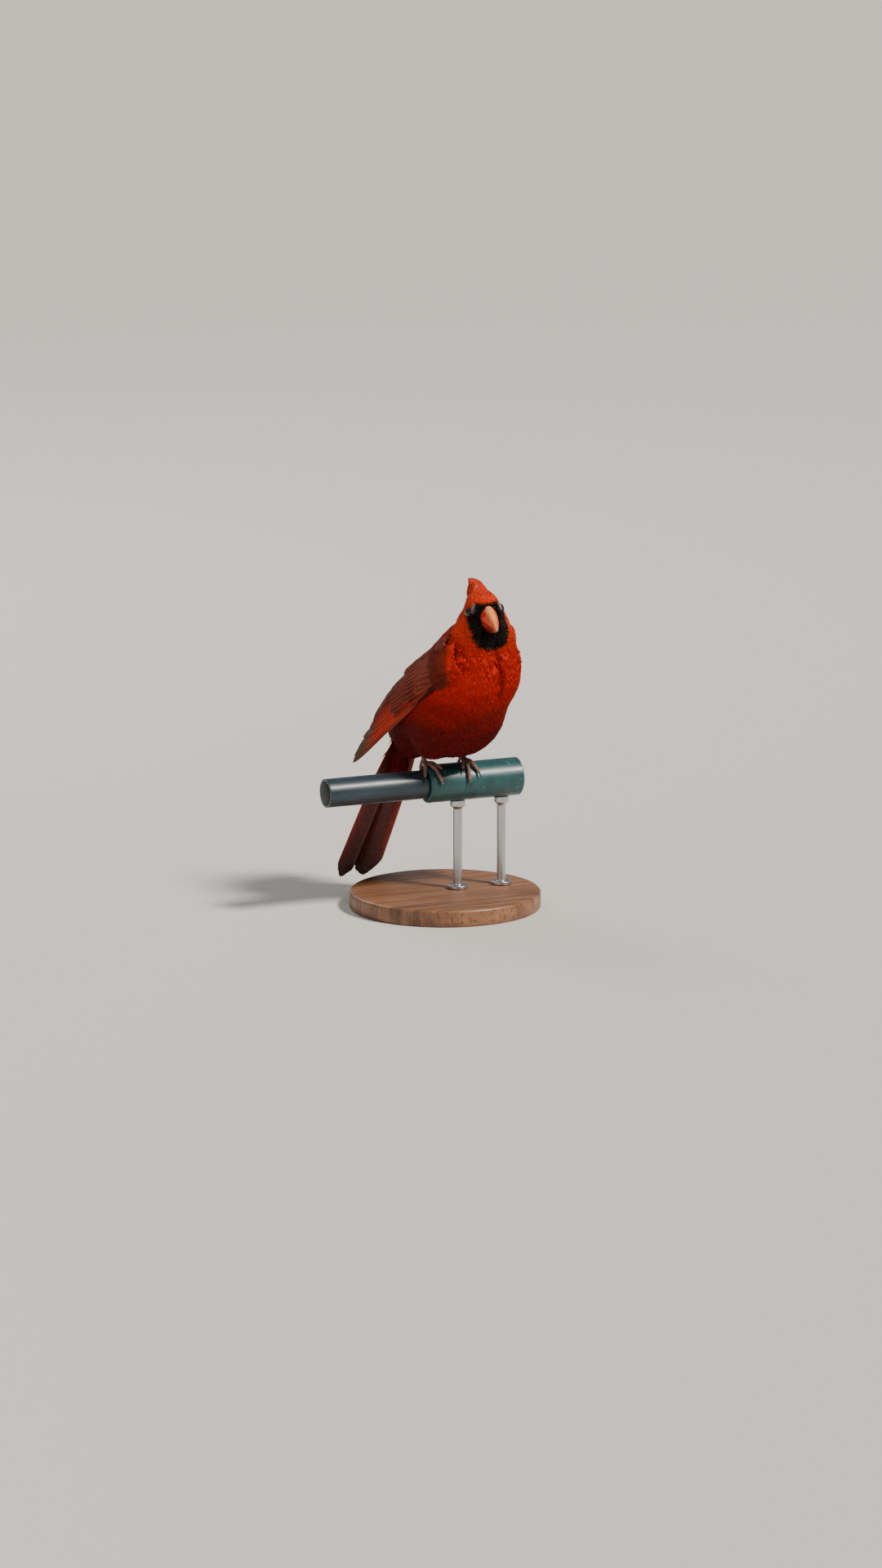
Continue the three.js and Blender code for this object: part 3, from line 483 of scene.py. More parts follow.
plumage = Look("plumage", Roughness=0.8, Specular_IOR_Level=0.18)
tint = plumage.attribute("tint")
fleck = plumage.noise(900)
dark_fleck = plumage.ramp(fleck, (0.35, 1.0), (0.6, 0.0))
plumage.colour(plumage.mix(tint, plumage.mix(tint, (0, 0, 0), 0.3), dark_fleck))
plumage.roughness(plumage.ramp(fleck, (0.3, 0.62), (0.7, 0.82)))
plumage.bump(plumage.noise(2200, 2), 0.0002, 0.5)

skin_mesh, skin_faces = closed_loft(skin_grid)
around_share = np.arange(SKIN_COLUMNS)[None] / SKIN_COLUMNS * 0.98 + 0.01
row_share = np.linspace(0.01, 0.99, SKIN_ROWS)[:, None]
skin_uv = np.stack(np.broadcast_arrays(around_share, row_share), -1).reshape(-1, 2)
skin_uv = np.concatenate([skin_uv, [[0.5, 0.0]], [[0.5, 1.0]]])
# The skin is the markings at 0.6: partly dusky down, partly painted shade under the feathers.
skin_down_and_shade_ink = mixed(markings(skin_mesh) * 0.6, BLACK, mask_share(skin_mesh))
skin = mesh_piece("skin", skin_mesh, skin_faces, plumage.material, skin_down_and_shade_ink, skin_uv)
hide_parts("head", "neck", "torso")


# Coat: soft body feathers. Each is a fan of thin tapered locks that rise from the skin, follow the
# lie of the coat over the body's curve and end in a loose fringe.
SEED = np.random.default_rng(11)
BILL_AT = np.array([11.5, 0, -2.5])
COAT_STATIONS = 4
PATCH_HALF = 0.0015
DUSKY_FRINGE = srgb(150, 108, 88)


def dot(a, b):
    """The sum of the products of two vectors' parts."""
    return (a * b).sum(-1, keepdims=True)


def outward(p):
    """The outline's unit normal at points, from small differences of its depth."""
    e = 0.05
    here = depth(p)
    return unit(np.stack([depth(p + e * np.eye(3)[i]) - here for i in range(3)], -1))


def lie(p, rows, normal):
    """The way feathers point at surface points: against the spine's run on the body, away from the
    bill on the head, parted round each eye, and flattened onto the surface."""
    h = to_head(p)
    down = -spine_at(rows, SPINE_ALONG)
    zero = 0 * h[:, 0]
    lifted = np.stack([zero, zero, 0.5 * smooth(h[:, 2], 2, 8)], -1)
    face = unit(h - BILL_AT) + np.array([-0.5, 0, 0.0]) + lifted
    face = unit(face) @ HEAD_TURN.T
    way = mixed(down, face, smooth(h[:, 2], -20, -8))
    for eye in EYES:
        off = p - eye
        near = np.linalg.norm(off, axis=-1, keepdims=True)
        way = way + 1.4 * off / near * np.exp(-((near / 5) ** 2))
    return unit(way - normal * dot(way, normal))


def spread_over(count, rows, weight):
    """Evenly scattered places on the skin's unwrap, as many as asked, denser by weight. A
    low-discrepancy sequence is passed through the area's running totals, first by ring and then
    round each ring."""
    k = np.arange(1, count + 1)
    a, b = (0.5 + k * 0.7548776662466927) % 1, (0.5 + k * 0.5698402909980532) % 1
    ring = np.cumsum(weight.sum(1))
    row = np.interp(a * ring[-1], ring, np.arange(len(ring)))
    around = np.cumsum(weight, 1)
    around = around / around[:, -1:]
    which = row.astype(int)
    place = np.empty(count)
    columns = np.arange(weight.shape[1])
    for r in np.unique(which):
        mine = which == r
        place[mine] = np.interp(b[mine], around[r], columns)
    angle = 2 * np.pi * (place + SEED.uniform(-0.3, 0.3, count)) / weight.shape[1]
    return np.interp(row, np.arange(len(rows)), rows), angle, row, place


def coat_sizes(p):
    """Length, width, spacing and tip height of the feathers at points, in millimetres. The length
    shrinks along S curves from belly to head, towards the bill and towards each eye, and the rest
    are shares of it."""
    h = to_head(p)
    near_bill = np.linalg.norm((h - (8, 0, -3)) / (1, 1, 1.2), axis=-1)
    near_eye = np.minimum(*[np.linalg.norm(p - eye, axis=-1) for eye in EYES])
    length = lerp(9.5, 11.5, 1 - smooth(p[:, 2], 30, 60))
    length = lerp(length, 7.5, smooth(p[:, 2], 80, 95))
    length = lerp(length, 5.2, smooth(h[:, 2], -16, -4))
    length = lerp(length, 2.3, 1 - smooth(near_bill, 8, 17))
    length = lerp(length, 6.5, smooth(h[:, 2], 4.5, 9) * smooth(-h[:, 0], -8, 0))
    length = lerp(length, 1.6, 1 - smooth(near_eye, 3.4, 6))
    return length, 0.55 * length, 0.25 * length, lerp(0.12, 0.5, smooth(length, 2, 10))


def locks(centre, side, up, width, thick):
    """Closed tapered locks: three-cornered rings along each centre line, drawn out to a tip.
    centre, side and up are (locks, stations, 3); width and thick are (locks, stations)."""
    n, s = centre.shape[:2]
    w, t = width[..., None] / 2, thick[..., None]
    ring = np.stack([centre - side * w, centre + up * t, centre + side * w], 2)[:, :-1]
    points = np.concatenate([ring.reshape(n, -1, 3), centre[:, -1:]], 1)
    per = 3 * (s - 1) + 1
    k, j = np.arange(s - 2)[:, None] * 3, np.arange(3)[None]
    quads = np.stack([k + j, k + (j + 1) % 3, k + 3 + (j + 1) % 3, k + 3 + j], -1).reshape(-1, 4)
    last = 3 * (s - 2)
    tips = np.array([[last + j, last + (j + 1) % 3, per - 1] for j in range(3)] + [[0, 2, 1]])
    offset = (np.arange(n) * per)[:, None, None]
    faces = [(part[None] + offset).reshape(-1, part.shape[1])[:, ::-1] for part in (quads, tips)]
    return points.reshape(-1, 3), faces


def lock_ink(base, tip, s, jitter):
    """Vertex colours for locks of s stations: base to tip in proportion, times each lock's jitter.
    The bases that callers give are darker than the tips: partly the feathers' own dusky bases, partly
    painted shade deep in the coat.
    """
    t = np.concatenate([np.repeat(np.arange(s - 1) / (s - 1), 3), [1.0]])
    ink = base[:, None] * (1 - t[:, None]) + tip[:, None] * t[:, None]
    return np.clip(ink * jitter[:, None, None], 0, 1).reshape(-1, 3)


def lock_uv(home, s):
    """Each lock's own small patch of the unwrap round its home, across and along the lock."""
    across, along = np.tile([-1, 0, 1], s - 1), np.repeat(np.arange(s - 1) / (s - 1), 3) * 2 - 1
    corners = np.concatenate([np.stack([across, along], -1), [[0, 1.0]]])
    return np.clip(home[:, None] + corners[None] * PATCH_HALF, 0, 1).reshape(-1, 2)


def soft_feathers(name, roots, rows, row, place, fan):
    """A coat piece: a fan of locks at each root. Each lock is stepped along the lie, and at every
    station it is put back to a height that grows from the skin to the outline."""
    n = len(roots)
    length, width, _, tip_height = coat_sizes(roots)
    length = length * SEED.uniform(0.85, 1.15, n)
    normal = outward(roots)
    way = lie(roots, rows, normal)
    across = np.cross(normal, way)
    k = np.linspace(-1, 1, fan)
    spread = k[None] * np.ones((n, 1)) + SEED.uniform(-0.5, 0.5, (n, fan)) / fan
    start = roots[:, None] + across[:, None] * (spread * 0.28 * width[:, None])[..., None]
    start = start - way[:, None] * (0.12 * length[:, None] * spread**2)[..., None]
    angle = np.radians(17) * spread + SEED.normal(0, np.radians(4), (n, fan))
    heading = way[:, None] * np.cos(angle)[..., None] + across[:, None] * np.sin(angle)[..., None]
    long = length[:, None] * (1 - 0.2 * spread**2) * SEED.uniform(0.82, 1.08, (n, fan))
    p, heading, long = start.reshape(-1, 3), heading.reshape(-1, 3), long.ravel()
    rise = np.repeat(tip_height, fan) * SEED.uniform(0.5, 1.3, n * fan)
    centre, sides, ups = [], [], []
    for station in range(COAT_STATIONS):
        t = station / (COAT_STATIONS - 1)
        up = outward(p)
        level = -COAT_DEPTH - 0.5 + (COAT_DEPTH + 0.5 + rise) * t**0.75
        p = p + up * (level - depth(p))[:, None]
        heading = unit(heading - up * dot(heading, up))
        centre.append(p)
        ups.append(up)
        sides.append(np.cross(up, heading))
        p = p + heading * (long / (COAT_STATIONS - 1))[:, None]
    centre, sides, ups = (np.stack(x, 1) for x in (centre, sides, ups))
    wide = np.repeat(width, fan)[:, None] / fan * 1.9 * np.array([0.75, 1.0, 0.78, 0.0])
    points, faces = locks(centre, sides, ups, wide, wide * 0.32)
    hue = markings(centre[:, 1])
    shade = np.repeat(SEED.normal(1, 0.09, n), fan) * SEED.normal(1, 0.06, n * fan)
    dusky = np.repeat(backness(roots) > 0.15, fan) & (roots[:, 2].repeat(fan) < 92)
    fringe = np.where(dusky[:, None], mixed(hue, DUSKY_FRINGE, 0.35), hue * 1.06)
    # Roots at two thirds of the markings, tips a little brighter: partly dusky feather bases, partly
    # painted shade deep in the coat.
    ink = lock_ink(hue * 0.66, fringe, COAT_STATIONS, shade)
    home_u = (np.repeat(place, fan) + (spread * 0.28 * width[:, None]).ravel() / 0.75) / SKIN_COLUMNS
    home_v = np.repeat(row, fan) / SKIN_ROWS - 0.12 * (spread**2).ravel() * np.repeat(length, fan) / 200
    uv = lock_uv(np.stack([home_u, home_v], -1) * 0.98 + 0.01, COAT_STATIONS)
    mesh_piece(name, points, faces, plumage.material, ink, uv)


# Their roots cover the skin, and are kept off the eyes and the bill.
rows_away = np.linalg.norm(np.gradient(skin_grid, axis=0), axis=-1)
columns_away = np.linalg.norm(np.roll(skin_grid, -1, 1) - skin_grid, axis=-1)
spacing = coat_sizes(skin_grid.reshape(-1, 3))[2].reshape(skin_grid.shape[:2])
density = rows_away * columns_away / spacing**2
ROOTS = int(min(density.sum(), 9000))
rows, angle, row, place = spread_over(ROOTS, SKIN_SHARE, density)
roots = skin_points(rows, angle, -COAT_DEPTH)
in_head = to_head(roots)
under_bill = ((in_head[:, 0] > 4) & (np.abs(in_head[:, 1]) < 4.6)
              & (in_head[:, 2] < 3.6) & (in_head[:, 2] > -9.6))
on_eye = np.minimum(*[np.linalg.norm(roots - eye - 0.8 * out, axis=-1)
                      for eye, out in zip(EYES, EYES_OUT)]) < 2.95
kept = ~under_bill & ~on_eye
height = roots[:, 2]
REGIONS = [
    ("coat_belly", kept & (height < 44), 13),
    ("coat_breast", kept & (height >= 44) & (height < 72), 13),
    ("coat_neck", kept & (height >= 72) & (in_head[:, 2] < -9), 13),
    ("coat_head", kept & (in_head[:, 2] >= -9), 9),
]
for name, region, fan in REGIONS:
    numbers = np.nonzero(region)[0]
    for part, mine in (("a", numbers[::2]), ("b", numbers[1::2])):
        soft_feathers(name + "_" + part, roots[mine], rows[mine], row[mine], place[mine], fan)


# Wings: each is folded, with its large feathers in overlapping rows on a curved sheet that runs from
# the bend of the wing to the tip over the tail. A feather is a thin closed vane of keratin with a
# raised shaft, and its barbs are fine slanting lines in the bump, with painted shade between them.
WRIST = (21, 28.2, 67)
WING_TIP = (-55, 21, 6)
WING_R = 27
VANE_STATIONS = 16
VANE_COLUMNS = 9
VANE_THICK = 0.24
SHAFT_AT = 0.35
WING_BROWN = srgb(108, 24, 10)
WING_RED = srgb(176, 12, 4)
WING_DARK = srgb(46, 24, 20)
WING_EDGE = srgb(224, 92, 50)
COVERT_BROWN = srgb(118, 30, 13)
COVERT_EDGE = srgb(178, 76, 44)
TIP_BROWN = srgb(94, 66, 44)

quill = Look("quills", Roughness=0.62, Specular_IOR_Level=0.16)
quill_ink = quill.attribute("tint")
cell = quill.add("ShaderNodeSeparateXYZ", {"Vector": quill.attribute("vane", "Vector")}).outputs
slant = quill.maths("MULTIPLY", quill.maths("ABSOLUTE", cell["X"]), -15.0)
barb = quill.maths("SINE", quill.maths("ADD", quill.maths("MULTIPLY", cell["Y"], 13.0), slant))
fray = quill.noise(420)
# Painted shade between the barbs: half of each barb's wave is darkened, most where the fray is high.
between = quill.maths("MULTIPLY", quill.ramp(barb, (0.0, 0.0), (1.0, 0.35)),
                      quill.ramp(fray, (0.35, 0.2), (0.7, 1.0)))
quill.colour(quill.mix(quill_ink, quill.mix(quill_ink, (0, 0, 0), 0.5), between))
quill.roughness(quill.ramp(fray, (0.3, 0.42), (0.7, 0.62)))
quill.bump(barb, 0.00008, 0.6)


def vanes(sheet, root, tip, width, rise, bend=0.0, lean=0.15, point=0.35, cup=0.25):
    """Closed feather vanes on a sheet, whose sheet(x, y, h) gives points. Each runs along a bowed
    line from root to tip, narrows to the quill at the root and to a rounded point over the last
    share of its length, leans down across its width and is cupped near the root."""
    t = (1 - (1 - np.linspace(0, 1, VANE_STATIONS)) ** 1.25)[None, :, None]
    c = np.linspace(-1, 1, VANE_COLUMNS)[None, None, :]
    way = tip - root
    long = np.linalg.norm(way, axis=1)[:, None, None]
    dx, dy = (way[:, i][:, None, None] / long for i in (0, 1))
    grow = 0.35 + 0.65 * smooth(t, 0.0, 0.22)
    close = np.sqrt(np.clip(1 - (np.clip(t - (1 - point), 0, 1) / point) ** 2.2, 0, 1))
    side = c * (width[:, None, None] / 2 * grow * np.maximum(close, 0.03))
    sway = bend * 4 * t * (1 - t)
    x = root[:, 0][:, None, None] + dx * (long * t) - dy * (side + sway)
    y = root[:, 1][:, None, None] + dy * (long * t) + dx * (side + sway)
    shaft = np.exp(-(((c + 1) / 2 - SHAFT_AT) / 0.07) ** 2) * (1 - 0.7 * t)
    h = rise[:, None, None] - lean * side - cup * (c**2 - 0.3) * (1 - t)
    top = sheet(x, y, h + 0.16 * shaft)
    under = sheet(x, y, h - VANE_THICK - 0.1 * shaft)
    return top, under, (x, y, np.broadcast_to(t, x.shape), np.broadcast_to(c, x.shape))


def vane_mesh(top, under):
    """Points and faces of closed vanes from their top and under grids (vanes, stations, columns,
    3): the two grids make one ring at each station, and strips close both ends."""
    n, s, c = top.shape[:3]
    ring = np.concatenate([top, under[:, :, ::-1]], 2)
    per, w = s * 2 * c, 2 * c
    sides = grid_faces(s, w, True)
    j = np.arange(c - 1)
    ends = [np.stack([b + j, b + j + 1, b + w - 2 - j, b + w - 1 - j], -1)[:, ::order]
            for b, order in ((0, -1), ((s - 1) * w, 1))]
    faces = np.concatenate([sides] + ends)[None] + (np.arange(n) * per)[:, None, None]
    return ring.reshape(-1, 3), faces.reshape(-1, 4)


def quill_piece(name, sets, turned):
    """One mesh from sets of vanes, each (top, under, grids, colours, width, length). The vanes share
    an unwrap of equal cells, and the attribute 'vane' holds millimetres across and along for barbs."""
    points, faces, ink, uv, vane, offset, number = [], [], [], [], [], 0, 0
    total = sum(len(s[0]) for s in sets)
    cells = math.ceil(math.sqrt(total * 3.2))
    down = math.ceil(total / cells)

    def both(a):
        """The top's values and then the underside's, in the order of the rings."""
        return np.concatenate([a, a[:, :, ::-1]], 2)

    for top, under, (_, _, t, c), colour, width, long in sets:
        p, f = vane_mesh(top, under)
        points.append(p)
        faces.append(f + offset)
        offset += len(p)
        n = len(top)
        # Each vane's underside is its top at 0.62: partly the duller underside of a real feather, partly
        # painted shade.
        ink.append(np.concatenate([colour, colour[:, :, ::-1] * 0.62 + 0.012], 2).reshape(-1, 3))
        which = number + np.arange(n)
        number += n
        u0, v0 = (which % cells)[:, None, None] / cells, (which // cells)[:, None, None] / down
        face = np.concatenate([np.zeros_like(c), np.ones_like(c)], 2)
        u = u0 + (0.04 + 0.92 * (both(c) * 0.25 + 0.25 + face * 0.5)) / cells
        v = v0 + (0.03 + 0.94 * both(t)) / down
        uv.append(np.stack([u, v], -1).reshape(-1, 2))
        across = both(c * np.broadcast_to(width, n)[:, None, None] / 2).ravel()
        along = both(t * np.broadcast_to(long, n)[:, None, None]).ravel()
        vane.append(np.stack([across, along, 0 * across], -1))
    faces = np.concatenate(faces)
    if turned:
        faces = faces[:, ::-1]
    piece = mesh_piece(name, np.concatenate(points), [faces], quill.material,
                       np.clip(np.concatenate(ink), 0, 1), np.concatenate(uv))
    layer = piece.data.attributes.new("vane", "FLOAT_VECTOR", "POINT")
    layer.data.foreach_set("vector", np.concatenate(vane).astype(np.float32).ravel())
    return piece


def wing_sheet(side):
    """The sheet of the left (1) or right (-1) wing, a cylinder that widens towards the tip and is
    bowed out by half a sine wave: x runs from the wrist to the tip, y from the leading edge up over
    the back, and h is the height off it."""
    wrist, end = (np.array([at[0], side * at[1], at[2]]) for at in (WRIST, WING_TIP))
    along = unit(end - wrist)
    out = np.array([-0.05, side, 0.16])
    out = unit(out - along * dot(out, along))
    up = np.cross(along, out) * -side

    def place(x, y, h):
        """Points at distances x, y and h on this wing's sheet."""
        r = WING_R + 0.12 * np.maximum(0, x)
        bow = 2.6 * np.sin(np.pi * np.clip(x / 95, 0, 1))
        return (wrist + along * x[..., None] + up * ((r + h) * np.sin(y / r))[..., None]
                + out * ((r + h) * np.cos(y / r) - r + bow)[..., None])
    return place


def web_ink(grids, outer, inner, edge, tip, edge_share, phase, streak=0.5, heart=0.0):
    """A vane's colours: the outer web turns into the inner one across the shaft, with a fine pale
    line at the outer edge, a dusky tip, a dark heart and slow sine waves along the barbs."""
    x, y, t, c = grids
    middle = np.exp(-(((c + 0.12) / 0.3) ** 2)) * smooth(t, 0.15, 0.5) * (1 - smooth(t, 0.88, 1))
    ink = mixed(outer, inner, smooth(c, -0.25, 0.25))
    ink = mixed(ink, tip, smooth(t, 0.62, 0.95))
    ink = mixed(ink, WING_DARK, heart * middle)
    ink = mixed(ink, edge, edge_share * smooth(-c, 0.76, 0.88) * (1 - 0.6 * smooth(t, 0.8, 1)))
    wave = (np.sin(x * 1.3 + phase) * np.sin(y * 2.1 + 2 * c + phase * 0.7)
            + np.sin(0.45 * x - 1.7 * c + phase))
    return ink * (1 + 0.09 * streak * wave)[..., None]


def primary_ink(g, s, i):
    """Red outer webs, dark in the outermost feathers, that turn brown towards the wing's tip."""
    outer = mixed(WING_RED, WING_DARK, 0.85 * (1 - smooth(s, 0.03, 0.2)))
    outer = mixed(outer, TIP_BROWN, 0.9 * smooth(g[0], 68, 84))
    return web_ink(g, outer, WING_DARK, WING_EDGE, TIP_BROWN, 0.75 - 0.3 * smooth(g[0], 60, 90), i)


def secondary_ink(g, s, i):
    """Red-brown outer webs with a fine bright edge, browner towards the body."""
    outer = mixed(WING_RED, WING_BROWN, 0.25 + 0.4 * s)
    return web_ink(g, outer, WING_DARK, WING_EDGE, WING_BROWN, 0.75, i + 9)


def tertial_ink(g, s, i):
    """Brown, with a duller edge."""
    edge = mixed(COVERT_EDGE, WING_BROWN, 0.3)
    return web_ink(g, mixed(WING_BROWN, COVERT_BROWN, 0.4), WING_DARK, edge, WING_BROWN, 0.7, i + 15)


def primary_covert_ink(g, s, i):
    """Dark red over the roots of the primaries."""
    outer = mixed(WING_RED, WING_BROWN, 0.6)
    return web_ink(g, outer, WING_DARK, WING_EDGE, WING_BROWN, 0.5, i + 19)


def alula_ink(g, s, i):
    """The darkest brown, on the few short feathers of the thumb."""
    outer, tip = mixed(COVERT_BROWN, WING_DARK, 0.35), mixed(WING_DARK, COVERT_BROWN, 0.5)
    return web_ink(g, outer, WING_DARK, COVERT_EDGE, tip, 0.5, i + 24)


def covert_ink(first):
    """Brown with a pale edge and a dark heart, paler towards the back, from a first wave on."""
    inner = mixed(WING_DARK, COVERT_BROWN, 0.25)
    return lambda g, s, i: web_ink(g, mixed(COVERT_BROWN, COVERT_EDGE, 0.2 * s), inner, COVERT_EDGE,
                                   COVERT_BROWN, 0.85, i + first, 1.4, 0.75)


def lesser_ink(tier):
    """Small warm brown feathers with a soft dark heart."""
    outer, tip = (mixed(COVERT_BROWN, COVERT_EDGE, share) for share in (0.25, 0.4))
    return lambda g, s, i: web_ink(g, outer, COVERT_BROWN * 0.7, COVERT_EDGE, tip, 0.7,
                                   i + 7 * tier, 1.5, 0.5)


# The rows, from the lowest up: how many, the roots, tips, widths and heights by s, which goes from 0
# to 1 along the row, the colours and the shape of each vane.
WING_ROWS = [
    (9, lambda s: (14 + 10 * s, -0.4 + 6.4 * s),
     lambda s: (96.5 - 27 * s + 3 * np.sin(np.pi * s), 0.4 + 8 * s),
     lambda s: 4.6 + 0.8 * s, lambda s: 0.5 + 0.05 * 8 * s,
     primary_ink, 0.3, dict(bend=-0.6, point=0.3)),
    (6, lambda s: (26 + 4 * s, 6.8 + 9 * s), lambda s: (69 - 12 * s, 8.4 + 6.6 * s),
     lambda s: 5.4, lambda s: 1.0 + 0.3 * s, secondary_ink, 0.4, dict(point=0.4)),
    (4, lambda s: (28 - 8 * s, 16.2 + 6.5 * s), lambda s: (61 - 17 * s, 13 + 6.4 * s),
     lambda s: 7.2 - 0.8 * s, lambda s: 1.4 + 0.36 * s, tertial_ink, 0.4, dict(point=0.42)),
    (5, lambda s: (6 + 3 * s, 0.6 + 3.6 * s), lambda s: (44 - 3 * s, 1.0 + 3.6 * s),
     lambda s: 3.6, lambda s: 1.1 + 0.1 * s, primary_covert_ink, 0.4, dict(point=0.45)),
    (3, lambda s: (0 + 2 * s, 1.2 + 1.6 * s), lambda s: (27 - 6 * s, 0.6 + 1.8 * s),
     lambda s: 3.4, lambda s: 1.5 + 0.2 * s, alula_ink, 0.4, dict(point=0.5)),
    (9, lambda s: (21 - 4 * s, 4.4 + 16.4 * s), lambda s: (46 - 8 * s, 5.2 + 14.8 * s),
     lambda s: 5.0 + 0.6 * s, lambda s: 1.9 + 0.2 * s,
     covert_ink(31), 0.4, dict(lean=0.2, point=0.5)),
    (9, lambda s: (11 - 4 * s, 3.2 + 18.6 * s), lambda s: (32 - 6 * s, 4.4 + 18 * s),
     lambda s: 5.0 + 0.4 * s, lambda s: 2.35 + 0.15 * s,
     covert_ink(43), 0.4, dict(lean=0.2, point=0.6)),
]
for tier in range(3):
    WING_ROWS.append((
        9 - tier % 2,
        lambda s, k=tier: (5.5 - 4.2 * k - 2 * s, 1.5 + 1.2 * (k % 2) + 22.5 * s),
        lambda s, k=tier: (19.5 - 4.4 * k - 2.5 * s, 2.6 + 1.2 * (k % 2) + 22 * s),
        lambda s: 4.6, lambda s, k=tier: 2.65 + 0.12 * k,
        lesser_ink(tier), 0.6, dict(lean=0.1, point=0.8, cup=0.35)))

for side, name in ((1, "left"), (-1, "right")):
    sheet = wing_sheet(side)
    chance = np.random.default_rng(5 + side)
    sets = []
    for count, root, tip, width, rise, ink, jitter, shape in WING_ROWS:
        s = np.linspace(0, 1, count)
        spot = chance.normal(0, jitter, (4, count))
        ends = [np.stack(np.broadcast_arrays(*f(s)), -1).astype(float) for f in (root, tip)]
        ends[1] += spot[:2].T
        w, r = (np.broadcast_to(np.asarray(f(s), float), count) for f in (width, rise))
        top, under, grids = vanes(sheet, *ends, w, r, **shape)
        hue = np.stack([ink(tuple(g[i] for g in grids), s[i], i) for i in range(count)])
        hue = hue * (1 + 0.05 * chance.normal(0, 1, count))[:, None, None, None]
        sets.append((top, under, grids, hue, w, np.linalg.norm(ends[1] - ends[0], axis=1)))
    wing = quill_piece("wing_vanes_" + name, sets, side > 0)

    # The wing's bed is the muscle and small down under the rows: a closed pad on the same sheet.
    t = np.linspace(0, 1, 30)[:, None]
    s = np.linspace(0, 1, 14)[None]
    lower = lerp(5, -2.0, smooth(t, 0, 0.16)) + 4 * smooth(t, 0.4, 1)
    x = lerp(-8, 70, t)
    inner = np.interp(x, (-9, 4, 26, 44, 58, 70, 84, 98), (9, 25, 25, 19.5, 13.6, 8.6, 4.8, 1.6))
    x, y = np.broadcast_arrays(x, lerp(lower, inner - 1, s))
    edge = 1 - np.abs(2 * s - 1) ** 4 * 0.6
    top = sheet(x, y, (0.3 + 1.5 * smooth(t, 0, 0.14) * (1 - smooth(t, 0.2, 0.62))) * edge)
    under = sheet(x, y, (-6 + 5.2 * smooth(t, 0.2, 0.9)) * edge)
    core, faces = closed_loft(np.concatenate([top, under[:, ::-1]], 1))
    faces = [f if side < 0 else f[:, ::-1] for f in faces]
    # Painted shade under the folded wing: dark brown-red, halved.
    bed_shade_ink = np.tile(mixed(WING_DARK, BELLY_SHADED_RED, 0.4) * 0.5, (len(core), 1))
    bed = mesh_piece("wing_bed_" + name, core, faces, plumage.material, bed_shade_ink,
                     np.clip(core[:, [0, 2]] / 120 + 0.5, 0, 1))
    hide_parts("wing_" + name)
    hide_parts("wing_" + name)


# Tail: twelve long vanes in six pairs, stacked so that the outermost show from below, hanging down
# behind the perch and swung a little to the bird's right, from a lump of flesh at their roots.
TAIL_ROOT = (-30, 0, 31)
TAIL_PITCH = math.radians(69)
TAIL_SWING = math.radians(6)
TAIL_LENGTH = 102
TAIL_RED = srgb(160, 34, 14)
TAIL_BROWN = srgb(114, 34, 18)
TAIL_EDGE = srgb(214, 84, 44)
TAIL_DUSK = srgb(78, 30, 20)


def tail_sheet(x, y, h):
    """The tail's plane: x down the tail, y to the bird's left, h above it, swung about its root."""
    c, s = math.cos(TAIL_SWING), math.sin(TAIL_SWING)
    x, y = x * c + y * s, y * c - x * s
    c, s = math.cos(TAIL_PITCH), math.sin(TAIL_PITCH)
    return np.stack([TAIL_ROOT[0] - c * x - s * h, TAIL_ROOT[1] + y, TAIL_ROOT[2] - s * x + c * h], -1)


def tail_half(side):
    """The six vanes of one half, from the middle pair on top to the outermost below. Their middles
    fan out with the root of the length, and their ends are rounded by a power curve."""
    made = []
    t = (1 - (1 - np.linspace(0, 1, 30)) ** 1.3)[None, :, None]
    c = np.linspace(-1, 1, VANE_COLUMNS)[None, None]
    for i in range(6):
        long = TAIL_LENGTH - (2.6, 0, 0, 1, 2.6, 5)[i]
        middle = lerp(1.6 + i, lerp(6.4, 14.3, i / 5), np.sqrt(t))
        half = 6.2 * lerp(0.5, 1, smooth(t, 0, 0.5))
        turned_in = np.where(c < 0, 0.972, 0.92)
        edge = np.sqrt(np.clip(1 - (np.clip((t - turned_in) / (1 - turned_in), 0, 1)) ** 2.6, 0, 1))
        half = half * np.maximum(edge, 0.42) * np.where(c > 0, 0.94, 1 + 0.15 * i)
        y = np.maximum(middle + c * half, 0.5 * (1 - edge) + (0.12 if i else -1.6))
        shaft = -0.1 + 0.09 * i
        ridge = 0.2 * np.exp(-((c - shaft) / 0.12) ** 2) * (1 - 0.6 * t)
        fray = 0.5 * np.sin(23 * c + 5 * i + 2 * side) * smooth(t, 0.97, 1)
        x = t * long - 2.2 * (c - 0.1) ** 2 * smooth(t, 0.85, 1) - 0.6 * fray
        over = 0.4 if i == 0 and side > 0 else 0
        h = -0.45 * i + over - 0.55 * (c**2) * (1 - 0.5 * t) - 0.3 * c
        x, y, h, along, across = np.broadcast_arrays(x, y * side, h, t, c)
        top, under = tail_sheet(x, y, h + ridge), tail_sheet(x, y, h - 0.26 - ridge)
        outer = TAIL_BROWN if i else mixed(TAIL_BROWN, TAIL_RED, 0.5)
        ink = mixed(outer, TAIL_RED, smooth(across, 0.0, 0.5))
        ink = mixed(ink, TAIL_EDGE, (0.85 if i == 5 else 0.5) * smooth(across, 0.72, 0.9))
        ink = mixed(ink, TAIL_DUSK, 0.75 * smooth(along, 0.72, 1))
        wave = np.sin(0.9 * x + 3 * i) * np.sin(1.7 * across + i) + np.sin(0.31 * x + 2.2 * across)
        ink = ink * (1 + 0.06 * wave)[..., None]
        made.append((top, under, (x, y, along, across), ink, 12.4, long))
    return made


